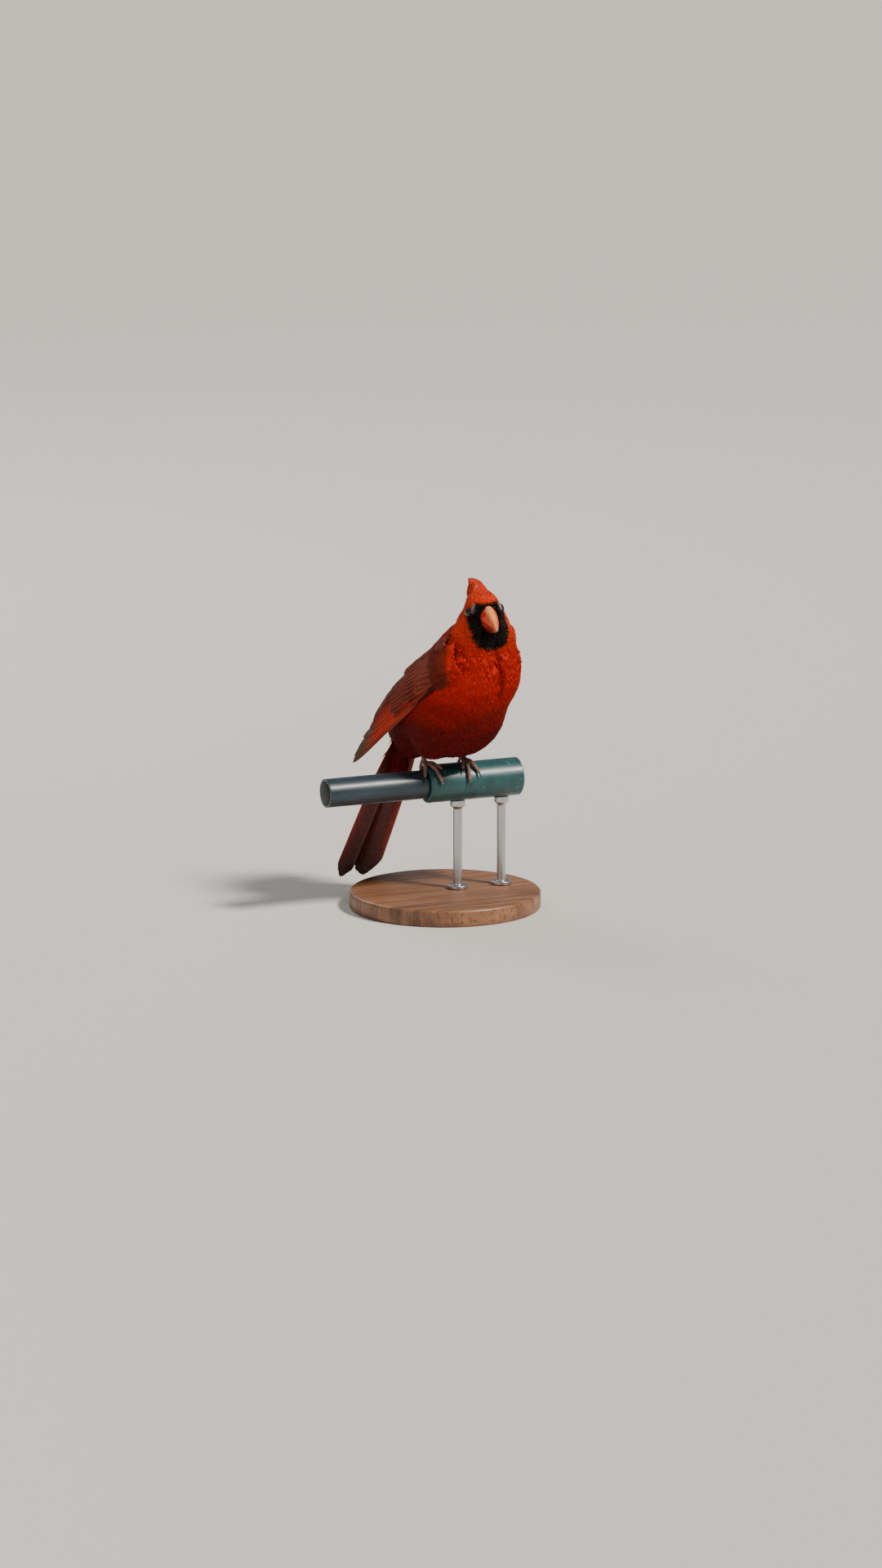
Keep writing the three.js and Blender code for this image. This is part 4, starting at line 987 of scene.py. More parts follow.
tail_left = quill_piece("tail_vanes_left", tail_half(1), False)
quill_piece("tail_vanes_right", tail_half(-1), True)
a = np.linspace(0, 2 * np.pi, 28, endpoint=False)[None]
b = np.linspace(0.06, np.pi - 0.06, 18)[:, None]
x, y, h = np.broadcast_arrays(2 + 16.5 * np.cos(b), 7.2 * np.sin(b) * np.cos(a),
                              -3 + 5.2 * np.sin(b) * np.sin(a))
lump, faces = closed_loft(tail_sheet(x, y, h))
lump_uv = np.clip(np.stack([lump[:, 1] / 40 + 0.5, -lump[:, 2] / 80 + 0.5], -1), 0, 1)
# The vent's red at 0.6: partly dusky down, partly painted shade under the coverts.
tail_lump = mesh_piece("tail_root", lump, faces, plumage.material,
                       np.tile(VENT_RED * 0.6, (len(lump), 1)), lump_uv)
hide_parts("tail")
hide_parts("tail")


# Tail coverts: longer soft feathers of fine locks that run from rump and vent over the roots of the
# tail, set round it in a spiral.
GOLDEN = 0.618034
COVERTS = 150


def tuft_row(name, base, way, up, length, width, ink, tip_ink, fan, rise, uv, stations=4):
    """Loose feathers given by root points, directions and up vectors: each is a fan of straight
    locks whose height is part of a sine wave along it and falls off to the fan's sides."""
    n = len(base)
    across = np.cross(up, way)
    length, width = (np.broadcast_to(np.asarray(v, float), n) for v in (length, width))
    k = np.linspace(-1, 1, fan)[None] + SEED.uniform(-0.4, 0.4, (n, fan)) / fan
    start = base[:, None] + across[:, None] * (k * 0.3 * width[:, None])[..., None]
    start = start - way[:, None] * (0.1 * length[:, None] * k**2)[..., None]
    angle = np.radians(11) * k + SEED.normal(0, np.radians(2.5), (n, fan))
    heading = way[:, None] * np.cos(angle)[..., None] + across[:, None] * np.sin(angle)[..., None]
    long = length[:, None] * (1 - 0.16 * k**2) * SEED.uniform(0.85, 1.05, (n, fan))
    t = np.linspace(0, 1, stations)[None, None, :, None]
    lift = rise * np.sin(np.pi * 0.6 * t) - 0.15 * width[:, None, None, None] * (k**2)[..., None, None]
    centre = start[:, :, None] + heading[:, :, None] * (long[..., None, None] * t)
    centre = (centre + up[:, None, None] * lift).reshape(n * fan, stations, 3)
    shape = (n, fan, stations, 3)
    sides = np.broadcast_to(np.cross(up[:, None], heading)[:, :, None], shape).reshape(-1, stations, 3)
    ups = np.broadcast_to(up[:, None, None], shape).reshape(-1, stations, 3)
    taper = np.interp(np.linspace(0, 1, stations), (0, 0.35, 0.75, 1), (0.75, 1.0, 0.7, 0.0))
    wide = np.repeat(width, fan)[:, None] / fan * 1.7 * taper
    points, faces = locks(centre, sides, ups, wide, wide * 0.3)
    shade = np.repeat(SEED.normal(1, 0.08, n), fan) * SEED.normal(1, 0.06, n * fan)
    ink, tip_ink = (np.repeat(np.broadcast_to(v, (n, 3)), fan, 0) for v in (ink, tip_ink))
    home = np.repeat(uv, fan, 0) + np.stack([k.ravel() * 0.004, 0 * k.ravel()], -1)
    # ink, the roots' colour, is darker than tip_ink in every call: partly dusky feather bases, partly
    # painted shade deep in the plumage.
    mesh_piece(name, points, faces, plumage.material, lock_ink(ink, tip_ink, stations, shade),
               lock_uv(home, stations))


def spiral(count):
    """How far round a circle each of count feathers sits, in shares, a golden section apart."""
    return (np.arange(count) * GOLDEN) % 1


k = (np.arange(COVERTS) + 0.5) / COVERTS
turn_at = 2 * np.pi * spiral(COVERTS)
above = np.cos(turn_at) > -0.15
down_at = lerp(-14, 15, k**0.9)
y = 5.3 * np.sin(turn_at) * (1 - 0.3 * k)
h = -3 + np.where(np.cos(turn_at) > 0, 4.6, 5.4) * np.cos(turn_at) * (1 - 0.2 * k)
base = tail_sheet(down_at, y, h)
way = unit(tail_sheet(down_at + 1, y * 1.01, h - 0.02 * np.cos(turn_at)) - base)
up = unit(tail_sheet(down_at, y + 0.9 * np.sin(turn_at), h + np.cos(turn_at)) - base)
up = unit(up - way * dot(up, way))
hue = np.where(above[:, None], mixed(RUMP, TAIL_RED, 0.4), mixed(VENT_RED, BELLY_SHADED_RED, 0.4))
tuft_row("tail_coverts", base, way, up, np.where(above, 20, 24), 8.4, hue * 0.55, hue, 11, 0.7,
         np.stack([turn_at / 7, 0.01 + 0.1 * k], -1), 5)


# Shoulder and scapular feathers: the loose plumage of breast side and back that laps over the bend
# and the inner edge of each folded wing, in fans of fine locks on the wing's sheet.
SHOULDER = 300
SCAPULARS = 240
SCAPULAR_TIP = srgb(150, 92, 66)


def over_wing(side, x, y, h, way_x=1.0, way_y=0.0):
    """Root points, directions and up vectors on a wing's sheet, from small steps along it."""
    sheet = wing_sheet(side)
    at = sheet(x, y, h)
    way = unit(sheet(x + 0.5 * way_x, y + 0.5 * way_y, h) - at)
    up = unit(sheet(x, y, h + 0.5) - at)
    return at, way, unit(up - way * dot(up, way))


def strewn(count, apart):
    """Where count feathers lie along and across a patch, as shares with a little disorder."""
    along = (np.arange(count) + SEED.uniform(-apart, apart, count)).clip(0, count) / count
    return along, (spiral(count) + SEED.uniform(-0.05, 0.05, count)).clip(0, 1)


for side, name in ((1, "left"), (-1, "right")):
    k, row = strewn(SHOULDER, 9)
    x = lerp(-16, -2.5, k) - 1.5 * np.sin(np.pi * row)
    y = lerp(-4, 27, row)
    h = lerp(-1.5, 3.2, smooth(k, 0, 0.85)) - 2.2 * smooth(-y, -2, 3)
    at, way, up = over_wing(side, x, y, h)
    brown = smooth(k + 0.45 * row + SEED.normal(0, 0.05, SHOULDER), 0.38, 0.72)
    hue = mixed(markings(at) * 0.9, mixed(COVERT_BROWN, COVERT_EDGE, 0.06), brown)
    home = np.stack([(0.08 if side > 0 else 0.42) + 0.05 * row, 0.62 + 0.05 * k], -1)
    tuft_row("shoulder_feathers_" + name, at, way, up, 8 * SEED.uniform(0.75, 1.2, SHOULDER), 4.0,
             hue * 0.66, hue, 13, 0.5, home)
    k, row = strewn(SCAPULARS, 6)
    x = lerp(-14, 21, k)
    y = np.interp(x, (-14, 4, 27), (20, 25.5, 26)) + lerp(-3.2, 9, row)
    h = 3.0 - 1.1 * k - 5.5 * smooth(row, 0.35, 1)
    at, way, up = over_wing(side, x, y, h, 1.0, -0.08)
    hue = mixed(mixed(MANTLE, COVERT_EDGE, 0.25), MANTLE * 0.9, row)
    home = np.stack([(0.14 if side > 0 else 0.36) + 0.05 * row, 0.6 - 0.1 * k], -1)
    tuft_row("scapulars_" + name, at, way, up, lerp(9, 12, k) * SEED.uniform(0.8, 1.15, SCAPULARS),
             5.4, hue * 0.62, mixed(hue, SCAPULAR_TIP, 0.3), 11, 0.6, home, 5)


# Crest: long soft feathers of the crown, half raised into a peak behind, combed back from the
# forehead. The ridge runs in the head's frame; each feather starts beside it and ends farther up it.
RIDGE = curve_through([(9, 0, 3.6), (2, 0, 9.4), (-8, 0, 13.2), (-16, -0.4, 15), (-23.5, -1, 16.2)], 200)
CREST_FEATHERS = 150
CREST_FAN = 11
CREST_STATIONS = 6
CREST_TOP = 119.5
CREST_GIVE = 2.5
CREST_RED = srgb(226, 52, 16)
CREST_PALE = srgb(240, 150, 100)


def ridge_at(share):
    """Points at shares of the ridge's length, in proportion between its samples."""
    place = np.clip(share, 0, 1) * (len(RIDGE) - 1)
    return np.stack([np.interp(place, np.arange(len(RIDGE)), RIDGE[:, i]) for i in range(3)], -1)


def crest():
    """Fans of fine locks along bowed curves (quadratic Bezier) from the crown to the ridge, denser
    towards the back. Their tips are pressed down softly under the highest point of the solids, by
    an exponential curve."""
    n, fan, stations = CREST_FEATHERS, CREST_FAN, CREST_STATIONS
    back = ((np.arange(n) + 0.5) / n) ** 0.85
    side = 2 * ((np.arange(n) * GOLDEN + 0.3) % 1) - 1
    zero = 0 * side
    foot = ridge_at(0.02 + 0.58 * back)
    foot = foot + np.stack([-3 * side**2, side * 5.6 * (0.75 + 0.3 * back),
                            -1.5 - (2.6 + 3.2 * back) * side**2], -1)
    tip = ridge_at(np.minimum(1, 0.36 + 0.66 * back))
    tip = tip + np.stack([2.2 * np.abs(side) * back, side * lerp(4.2, 1.4, back),
                          -(0.9 + 2.4 * back) * np.abs(side)], -1)
    tip = tip + SEED.normal(0, 0.5, tip.shape) * (0.4 + back)[:, None]
    middle = (foot + tip) / 2 + np.stack([zero, side * 0.8, 1.3 - 0.5 * np.abs(side)], -1)
    t = np.linspace(0, 1, stations)[None, None, :, None]
    f = np.linspace(-1, 1, fan)[None] + SEED.uniform(-0.4, 0.4, (n, fan)) / fan
    along = unit(tip - foot)
    out = unit(np.stack([0.15 + zero, side * 0.75, 1 + zero], -1))
    across = unit(np.cross(out, along))
    spread = np.sin(np.pi * np.clip(0.18 + 0.75 * t, 0, 1)) ** 0.8
    width = lerp(3.6, 4.8, back)
    long = 1 - 0.16 * f**2 * SEED.uniform(0.6, 1.2, f.shape)
    share = t * long[..., None, None]
    bowed = (foot[:, None, None] * (1 - share) ** 2 + middle[:, None, None] * 2 * share * (1 - share)
             + tip[:, None, None] * share**2)
    aside = f[..., None, None] * width[:, None, None, None] / 2 * spread
    centre = bowed + across[:, None, None] * aside
    centre = (centre - out[:, None, None] * (0.35 * (f**2)[..., None, None])
              + out[:, None, None] * SEED.normal(0, 0.12, (n, fan, 1, 1)) * t)
    centre = from_head(centre.reshape(-1, stations, 3))
    over = np.maximum(centre[..., 2] - CREST_TOP, 0)
    centre[..., 2] -= over - CREST_GIVE * (1 - np.exp(-over / CREST_GIVE))
    run = unit(np.gradient(centre, axis=1))
    up = np.repeat(out, fan, 0)[:, None] @ HEAD_TURN.T + 0 * run
    up = unit(up - run * dot(up, run))
    taper = np.interp(np.linspace(0, 1, stations), (0, 0.3, 0.75, 1), (0.8, 1.0, 0.75, 0.0))
    wide = (np.repeat(width, fan) / fan * 1.7)[:, None] * taper
    points, faces = locks(centre, np.cross(up, run), up, wide, wide * 0.35)
    flecked = SEED.uniform(0, 1, n) < 0.12
    shade = np.repeat(SEED.normal(1, 0.09, n), fan) * SEED.normal(1, 0.07, n * fan)
    tip_hue = mixed(FACE_LIT_RED, CREST_RED * 0.8, back)
    tip_hue = np.where(flecked[:, None], mixed(tip_hue, CREST_PALE, 0.4), tip_hue)
    # Roots at 0.6 of the crest's red: partly dusky feather bases, partly painted shade deep in the
    # crest.
    root_hue = mixed(CREST_RED, FACE_LIT_RED, 1 - back) * 0.6
    ink = lock_ink(np.repeat(root_hue, fan, 0), np.repeat(tip_hue, fan, 0), stations, shade)
    home = np.stack([0.25 + 0.16 * side, 0.985 - 0.06 * back], -1)
    home = np.repeat(home, fan, 0) + np.stack([f.ravel() * 0.004, 0 * f.ravel()], -1)
    mesh_piece("crest", points, faces, plumage.material, ink, lock_uv(home, stations))


def crest_bed():
    """The close-packed lower halves of the crest feathers: elliptic rings along a rising line,
    smaller towards the peak, make a smooth wedge."""
    t = np.linspace(0, 1, 26)[:, None]
    a = np.linspace(0, 2 * np.pi, 36, endpoint=False)[None]
    high, wide = lerp(6.4, 0.6, t**0.9), lerp(6.2, 0.6, t)
    x = lerp(-1.5, -20, t) + 0.45 * high * np.sin(a)
    z = lerp(4.2, 14.4, t**0.85) + high * 0.85 * np.sin(a)
    points, faces = closed_loft(from_head(np.stack([x, -0.7 * t + wide * np.cos(a), z], -1)))
    # Its red at 0.55: partly the feathers' dusky bases, partly painted shade under the crest.
    mesh_piece("crest_bed", points, faces, plumage.material, np.tile(CREST_RED * 0.55, (len(points), 1)),
               np.clip(to_head(points)[:, [1, 0]] / 60 + 0.5, 0, 1))


crest()
crest_bed()


# Bill: a deep seed-cracking cone of coral-red horn in two halves, with a painted highlight along its
# ridge and painted shade low down and at the root, and the nostrils under a soft fringe at the root.
# The mouth line dips at the corner and again at the tip.
BILL_ROOT = 5.5
UPPER_LENGTH = 19.5
LOWER_LENGTH = 17.6
LIP_GAP = 0.13
CORAL = srgb(222, 56, 12)
CORAL_SHADE = srgb(124, 12, 6)
CORAL_PALE_HIGHLIGHT = srgb(250, 176, 96)
HORN_GRAIN = srgb(120, 30, 16)
HORN_ROOT_SHADE = srgb(70, 20, 14)
NOSTRIL_SHADE = srgb(40, 12, 8)


def mouth_at(u):
    """The height of the mouth line at shares of the bill's length: a parabola that dips towards the
    tip, and a second one that dips towards the corner."""
    return -3.7 - 2.3 * u**2 - 2.2 * np.maximum(0, 1 - u / 0.42) ** 2


def bill_half(length, half_width, outer):
    """Half-ellipse sections along u from the root (0) to the tip (1), across and over the mouth
    line, each closed by a nearly flat row of points along the lip."""
    u = (1 - (1 - np.linspace(0, 0.994, 60)) ** 1.35)[:, None]
    a = np.linspace(0, np.pi, 44)[None]
    across = np.maximum(half_width(u), 0.22)
    deep = outer(u) - mouth_at(u)
    high = np.sign(deep) * np.maximum(np.abs(deep), 0.3)
    lip = mouth_at(u) + LIP_GAP * np.sign(deep)
    keen = 1 + 0.05 * np.sin(a) ** 8
    y = across * np.cos(a) * (1 + 0.05 * np.sin(2 * a) ** 2)
    z = lip + high * np.sin(a) ** 0.94 * keen / 1.05
    inner = np.linspace(1, -1, 12)[None, 1:-1]
    y = np.concatenate([y, -across * inner * 0.9], 1)
    z = np.concatenate([z, lip + 0 * inner + high * 0.02], 1)
    x = BILL_ROOT + length * u + 0 * y
    return np.stack([x, y, z], -1), np.broadcast_to(u, x.shape)


def from_nostril(points, side, half):
    """How far points are from the middle of a nostril, in its half-sizes."""
    at = np.array([BILL_ROOT + 5.6, side * 5.8 * 0.7**0.72 * 0.8, 1.2])
    return np.linalg.norm((points - at) / half, axis=-1)


def bill_ink(points, u):
    """Coral, with a painted highlight along the ridge (a bell curve), paler at the tip, and painted
    shade: deep red low down and dark at the root."""
    side, z = np.abs(points[..., 1]), points[..., 2]
    # Painted shade: deep red on the lower part of the bill.
    ink = mixed(CORAL, CORAL_SHADE, smooth(-z, 2.5, 6.5))
    # Painted highlight: a pale band along the ridge.
    ridge = np.exp(-(side / 2.1) ** 2) * smooth(z, -6, 2)
    ink = mixed(ink, CORAL_PALE_HIGHLIGHT, 0.85 * ridge)
    ink = mixed(ink, CORAL_PALE_HIGHLIGHT, 0.35 * smooth(u, 0.8, 1) * (z > -9))
    # Painted shade where the bill leaves the face.
    return mixed(ink, HORN_ROOT_SHADE, 0.6 * np.exp(-u / 0.05))


horn = Look("bill_horn", Roughness=0.34, Coat_Weight=0.12, Coat_Roughness=0.3,
            Subsurface_Weight=0.05, Subsurface_Scale=0.0008)
horn_ink = horn.attribute("tint")
grain = horn.noise(700, 4, stretch=(1, 1, 0.35))
worn = horn.ramp(grain, (0.45, 0.0), (0.75, 0.6))
horn.colour(horn.mix(horn_ink, horn.mix(horn_ink, HORN_GRAIN, 0.6), worn))
horn.roughness(horn.ramp(grain, (0.3, 0.28), (0.7, 0.46)))
horn.bump(horn.noise(1600, 4, stretch=(1, 1, 0.3)), 0.00006, 0.5)

# Each half's width shrinks as a power of the way left to the tip, and its outer line falls or rises
# as a power of the way from the root. The nostrils are oval dents, sunk by a bell curve.
section, u = bill_half(UPPER_LENGTH, lambda u: 5.8 * (1 - u) ** 0.72, lambda u: 4.9 - 10.9 * u**2.1)
for side in (1, -1):
    section[..., 1] -= side * 0.95 * np.exp(-(from_nostril(section, side, (1.5, 1.3, 0.85)) ** 2) * 1.6)
points, faces = closed_loft(section)
ink = bill_ink(points, np.concatenate([u.reshape(-1), [0, 1]]))
# Painted shade in each nostril's dent.
for side in (1, -1):
    near = from_nostril(points, side, (1.3, 2.2, 0.75))
    ink = mixed(ink, NOSTRIL_SHADE, 0.9 * (1 - smooth(near, 0.5, 1.0)))
half = mesh_piece("bill_upper_horn", from_head(points), faces, horn.material, ink)
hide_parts("bill_upper")

section, u = bill_half(LOWER_LENGTH, lambda u: 6.4 * (1 - u) ** 0.64, lambda u: -11.3 + 4.7 * u**1.5)
points, faces = closed_loft(section)
ink = bill_ink(points, np.concatenate([u.reshape(-1), [0, 1]]))
half = mesh_piece("bill_lower_horn", from_head(points), [f[:, ::-1] for f in faces], horn.material,
                  ink)
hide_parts("bill_lower")


# Eyes: glossy dark brown balls with a black pupil, sunk in the sides of the face behind lids of bare
# dark skin. Each pair of lids is a cuff that hugs its ball, drawn to a point fore and aft.
PUPIL = srgb(10, 7, 7)
IRIS_BROWN = srgb(34, 17, 12)
EYE_RIM = srgb(14, 9, 8)
LID_PALE = srgb(62, 48, 44)
LID_DARK = srgb(16, 11, 10)
LID_TURNS = 96
LID_SECTION = 20


def ball(centre, axis, radius, rows=48, columns=64):
    """A sphere as circles round an axis, at even angles from one pole to the other."""
    a = np.linspace(0.02, np.pi - 0.02, rows)[:, None, None]
    b = np.linspace(0, 2 * np.pi, columns, endpoint=False)[None, :, None]
    side = unit(np.cross(axis, [0.1, 0.2, 1]))
    circle = np.cos(b) * side + np.sin(b) * np.cross(axis, side)
    points, faces = closed_loft(centre + radius * (np.cos(a) * axis + np.sin(a) * circle))
    return points, [f[:, ::-1] for f in faces]


def lids(centre, out, side):
    """A closed ring round the eye, swept by a small oval. Its angle from the eye's axis is least
    above and below and grows fore and aft, as powers of sine and cosine, and its radius hugs the
    ball's. Also how far back each point lies, as a share."""
    a = np.linspace(0, 2 * np.pi, LID_TURNS, endpoint=False)[:, None]
    b = np.linspace(0, 2 * np.pi, LID_SECTION, endpoint=False)[None]
    ahead = HEAD_TURN[:, 0]
    fore = unit(ahead - out * (ahead @ out))
    rise = np.cross(out, fore) * side
    rim = 0.80 - 0.12 * np.abs(np.sin(a)) ** 1.5 + 0.1 * np.cos(a) ** 8 + 0.012 * np.sin(11 * a)
    back = 0.5 - 0.5 * np.cos(b)
    polar = (rim + 0.8 * back)[..., None]
    r = EYE_R + 0.03 + 0.2 * (1 - 0.4 * back) * (0.5 + 0.5 * np.sin(b)) + 0.06 * np.sin(7 * a) * back
    circle = np.cos(a)[..., None] * fore + np.sin(a)[..., None] * rise
    rings = centre + r[..., None] * (np.cos(polar) * out + np.sin(polar) * circle)
    return rings.reshape(-1, 3), back + 0 * a


iris = Look("eye", Roughness=0.12, Coat_Weight=0.6, Coat_Roughness=0.04, IOR=1.36)
clouds = iris.ramp(iris.noise(1500, 4), (0.4, 0.0), (0.75, 0.5))
iris.colour(iris.mix(iris.attribute("tint"), (0.0, 0.0, 0.0), clouds))
iris.roughness(iris.ramp(iris.noise(300, 2), (0.3, 0.04), (0.7, 0.07)))
lid_skin = Look("lid_skin", Roughness=0.75, Specular_IOR_Level=0.2)
creases = lid_skin.ramp(lid_skin.noise(2400), (0.4, 0.1), (0.7, 0.8))
lid_skin.colour(lid_skin.mix(lid_skin.attribute("tint"), (0.012, 0.009, 0.009), creases))
lid_skin.bump(lid_skin.noise(3800), 0.00012, 0.7)
for side, name, centre, out in zip((1, -1), ("left", "right"), EYES, EYES_OUT):
    points, faces = ball(centre, out, EYE_R)
    toward = dot(unit(points - centre), out)[:, 0]
    ink = mixed(PUPIL, IRIS_BROWN, smooth(-toward, -0.93, -0.86))
    ink = mixed(ink, EYE_RIM, smooth(-toward, -0.8, -0.66))
    eyeball = mesh_piece("eyeball_" + name, points, faces, iris.material, ink)
    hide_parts("eye_" + name)
    points, back = lids(centre, out, side)
    ink = mixed(LID_PALE, LID_DARK, smooth(back, 0.03, 0.22)).reshape(-1, 3)
    quads = grid_faces(LID_TURNS + 1, LID_SECTION, True) % (LID_TURNS * LID_SECTION)
    mesh_piece("eyelids_" + name, points, [quads if side > 0 else quads[:, ::-1]],
               lid_skin.material, ink)


# Bristles: short stiff black feathers round the bill's root that lie forward over the horn and
# hide where it leaves the face, thickest over the forehead and the nostrils.
BRISTLES = 150

a = 2 * np.pi * spiral(BRISTLES)
on_top = smooth(np.sin(a), -0.2, 0.8)
base = np.stack([5.3 + 0.9 * SEED.uniform(-1, 1, BRISTLES) - 0.8 * on_top,
                 lerp(6.5, 6.0, on_top) * np.cos(a), -3.2 + lerp(8.6, 7.6, on_top) * np.sin(a)], -1)
aim = unit(np.stack([1.0 + 0 * a, lerp(0.34, 0.16, on_top) * np.cos(a),
                     lerp(0.3, -0.12, on_top) * np.sin(a) - 0.25 * (1 - on_top)], -1))
up = unit(np.stack([0 * a, np.cos(a), np.sin(a)], -1))
up = unit(up - aim * dot(up, aim))
tuft_row("bill_bristles", from_head(base), aim @ HEAD_TURN.T, up @ HEAD_TURN.T,
         lerp(3.0, 4.6, on_top) * SEED.uniform(0.8, 1.15, BRISTLES), 2.6, BLACK * 0.8, BLACK * 1.2,
         fan=7, rise=0.35, uv=np.stack([0.25 + 0.12 * np.cos(a), 0.9 + 0.04 * np.sin(a)], -1))


# Feet: bare scaled skin over slender shanks and toes, three ahead and one behind, wrapped round the
# perch, each toe with a claw of dark horn. Plate-like scutes run along the upper side and soft pads
# bulge under each joint.
TUBE_R = 8.4
SLEEVE_R = 11.2
TOE_R = 1.15
SHANK_R = 1.25
SHANK_LENGTH = 16.5
PAD_R = 1.9
SHANK_PLATES = 9
SHANK_FEATHERS = 46
SHANK = srgb(150, 104, 92)
SCUTE_DARK = srgb(92, 56, 48)
PAD_PINK = srgb(196, 150, 134)
CLAW_DARK = srgb(44, 32, 30)
CLAW_GRAIN = srgb(110, 84, 70)
CLAW_PALE = srgb(120, 92, 78)
# Each foot's place along the perch, its angle to the front, its shank's lean, and for each toe its
# reach along the perch, its turn round it in degrees and its claw's length.
FEET = {
    "right": (-13.4, 2, (-1, 7), ((2.5, -62, 4.4), (8.2, 36, 3.4), (6.2, 74, 4.4), (-2.8, 52, 3.6))),
    "left": (11.5, 2, (1.5, 7), ((1.5, -62, 4.4), (-4, 42, 3.4), (-1.2, 76, 4.4), (5.2, 54, 3.6))),
}


def perch_radius(x):
    """The perch's radius along it: the tube's, and past a short S-curve the sleeve's."""
    return lerp(TUBE_R, SLEEVE_R, smooth(x, -15.6, -13.9))


def on_perch(x, degrees, lift):
    """Points of the model's frame at a place along the perch, an angle to its front and a height
    off it: a circle of the perch's radius and more."""
    r, a = perch_radius(x) + 0.35 + lift, np.radians(degrees)
    return np.stack(np.broadcast_arrays(x, -r * np.sin(a), PERCH_HEIGHT + r * np.cos(a)), -1)


def off_perch(points):
    """The direction straight away from the perch's middle line, at each point."""
    return unit((points - [0, 0, PERCH_HEIGHT]) * [0, 1, 1])


def limb(points, radius, top, columns=26):
    """Rings swept along a curve. top is the up vector at each point, radius(t, angle) the radius,
    where angle 0 is the top and half a turn is the underside."""
    along = unit(np.gradient(points, axis=0))
    top = unit(top - along * dot(top, along))
    side = np.cross(along, top)
    t = np.linspace(0, 1, len(points))[:, None]
    a = np.linspace(0, 2 * np.pi, columns, endpoint=False)[None]
    spoke = np.cos(a)[..., None] * top[:, None] + np.sin(a)[..., None] * side[:, None]
    mesh, faces = closed_loft(points[:, None] + radius(t, a)[..., None] * spoke)
    t, a = np.broadcast_arrays(t, a)
    return mesh, [f[:, ::-1] for f in faces], np.append(t.ravel(), [0, 1]), np.append(a.ravel(), [0, 0])


def scutes(t, a, count):
    """Overlapping plates on the upper side: each rises as a parabola and drops at its edge."""
    return (((t * count) % 1) ** 2 - 0.35) * smooth(np.cos(a), -0.15, 0.5)


def foot_ink(t, a, count):
    """Grey-pink skin, pinker on the pads below and dark between the plates above."""
    edge = smooth((t * count) % 1, 0.8, 0.97) * smooth(np.cos(a), -0.1, 0.4)
    ink = mixed(SHANK, PAD_PINK, smooth(-np.cos(a), 0.2, 0.7))
    return mixed(ink, SCUTE_DARK, 0.7 * edge)


def toe_radius(count):
    """The radius of a toe with count plates, as a function for limb."""
    def radius(t, a):
        """It tapers evenly, swells in a cosine wave at each joint and pad, and is rounded off by
        square roots at both ends."""
        joint = 1 + 0.09 * np.cos(t * np.pi * 5)
        pads = 0.16 * np.clip(np.cos(t * np.pi * 5 + 0.4), 0, 1) * smooth(-np.cos(a), -0.1, 0.6)
        end = np.sqrt(np.clip(1 - smooth(t, 0.955, 1.0) * 0.75, 0, 1))
        end = end * np.sqrt(np.clip(smooth(t, -0.02, 0.03), 0.1, 1))
        return TOE_R * (1 - 0.24 * t) * (joint + pads + 0.085 * scutes(t, a, count)) * end
    return radius


def claw_radius(t, a):
    """A claw runs out to a point by a power curve, and is a little deeper than wide."""
    return lerp(0.8, 0.1, t**0.85) * (1 + 0.12 * np.cos(a) - 0.1 * np.cos(2 * a))


def shank_radius(t, a):
    """A shank is half a cosine wave thicker at the foot, with its plates in front."""
    plates = 0.1 * scutes(t, a, SHANK_PLATES)
    return SHANK_R * (1 + 0.15 * np.cos(t * np.pi) + plates + 0.06 * np.cos(2 * a))


foot_skin = Look("foot_skin", Roughness=0.5, Subsurface_Weight=0.06, Subsurface_Scale=0.0006)
cracks = foot_skin.add("ShaderNodeTexVoronoi", {"Vector": foot_skin.place(), "Scale": 2600.0},
                       feature="DISTANCE_TO_EDGE").outputs["Distance"]
foot_skin.colour(foot_skin.mix(foot_skin.attribute("tint"), SCUTE_DARK * 0.6,
                               foot_skin.ramp(cracks, (0.0, 0.55), (0.16, 0.0))))
foot_skin.roughness(foot_skin.ramp(foot_skin.noise(900), (0.3, 0.4), (0.7, 0.62)))
foot_skin.bump(foot_skin.ramp(cracks, (0.0, 0.0), (0.2, 1.0)), 0.00012, 0.7)
claw_horn = Look("claw_horn", Roughness=0.32, Coat_Weight=0.3, Coat_Roughness=0.2)
streaks = claw_horn.ramp(claw_horn.noise(1300, 4, stretch=(1, 1, 0.4)), (0.5, 0.0), (0.8, 0.5))
claw_horn.colour(claw_horn.mix(claw_horn.attribute("tint"), CLAW_GRAIN, streaks))
claw_horn.bump(claw_horn.noise(2600), 0.00004, 0.5)

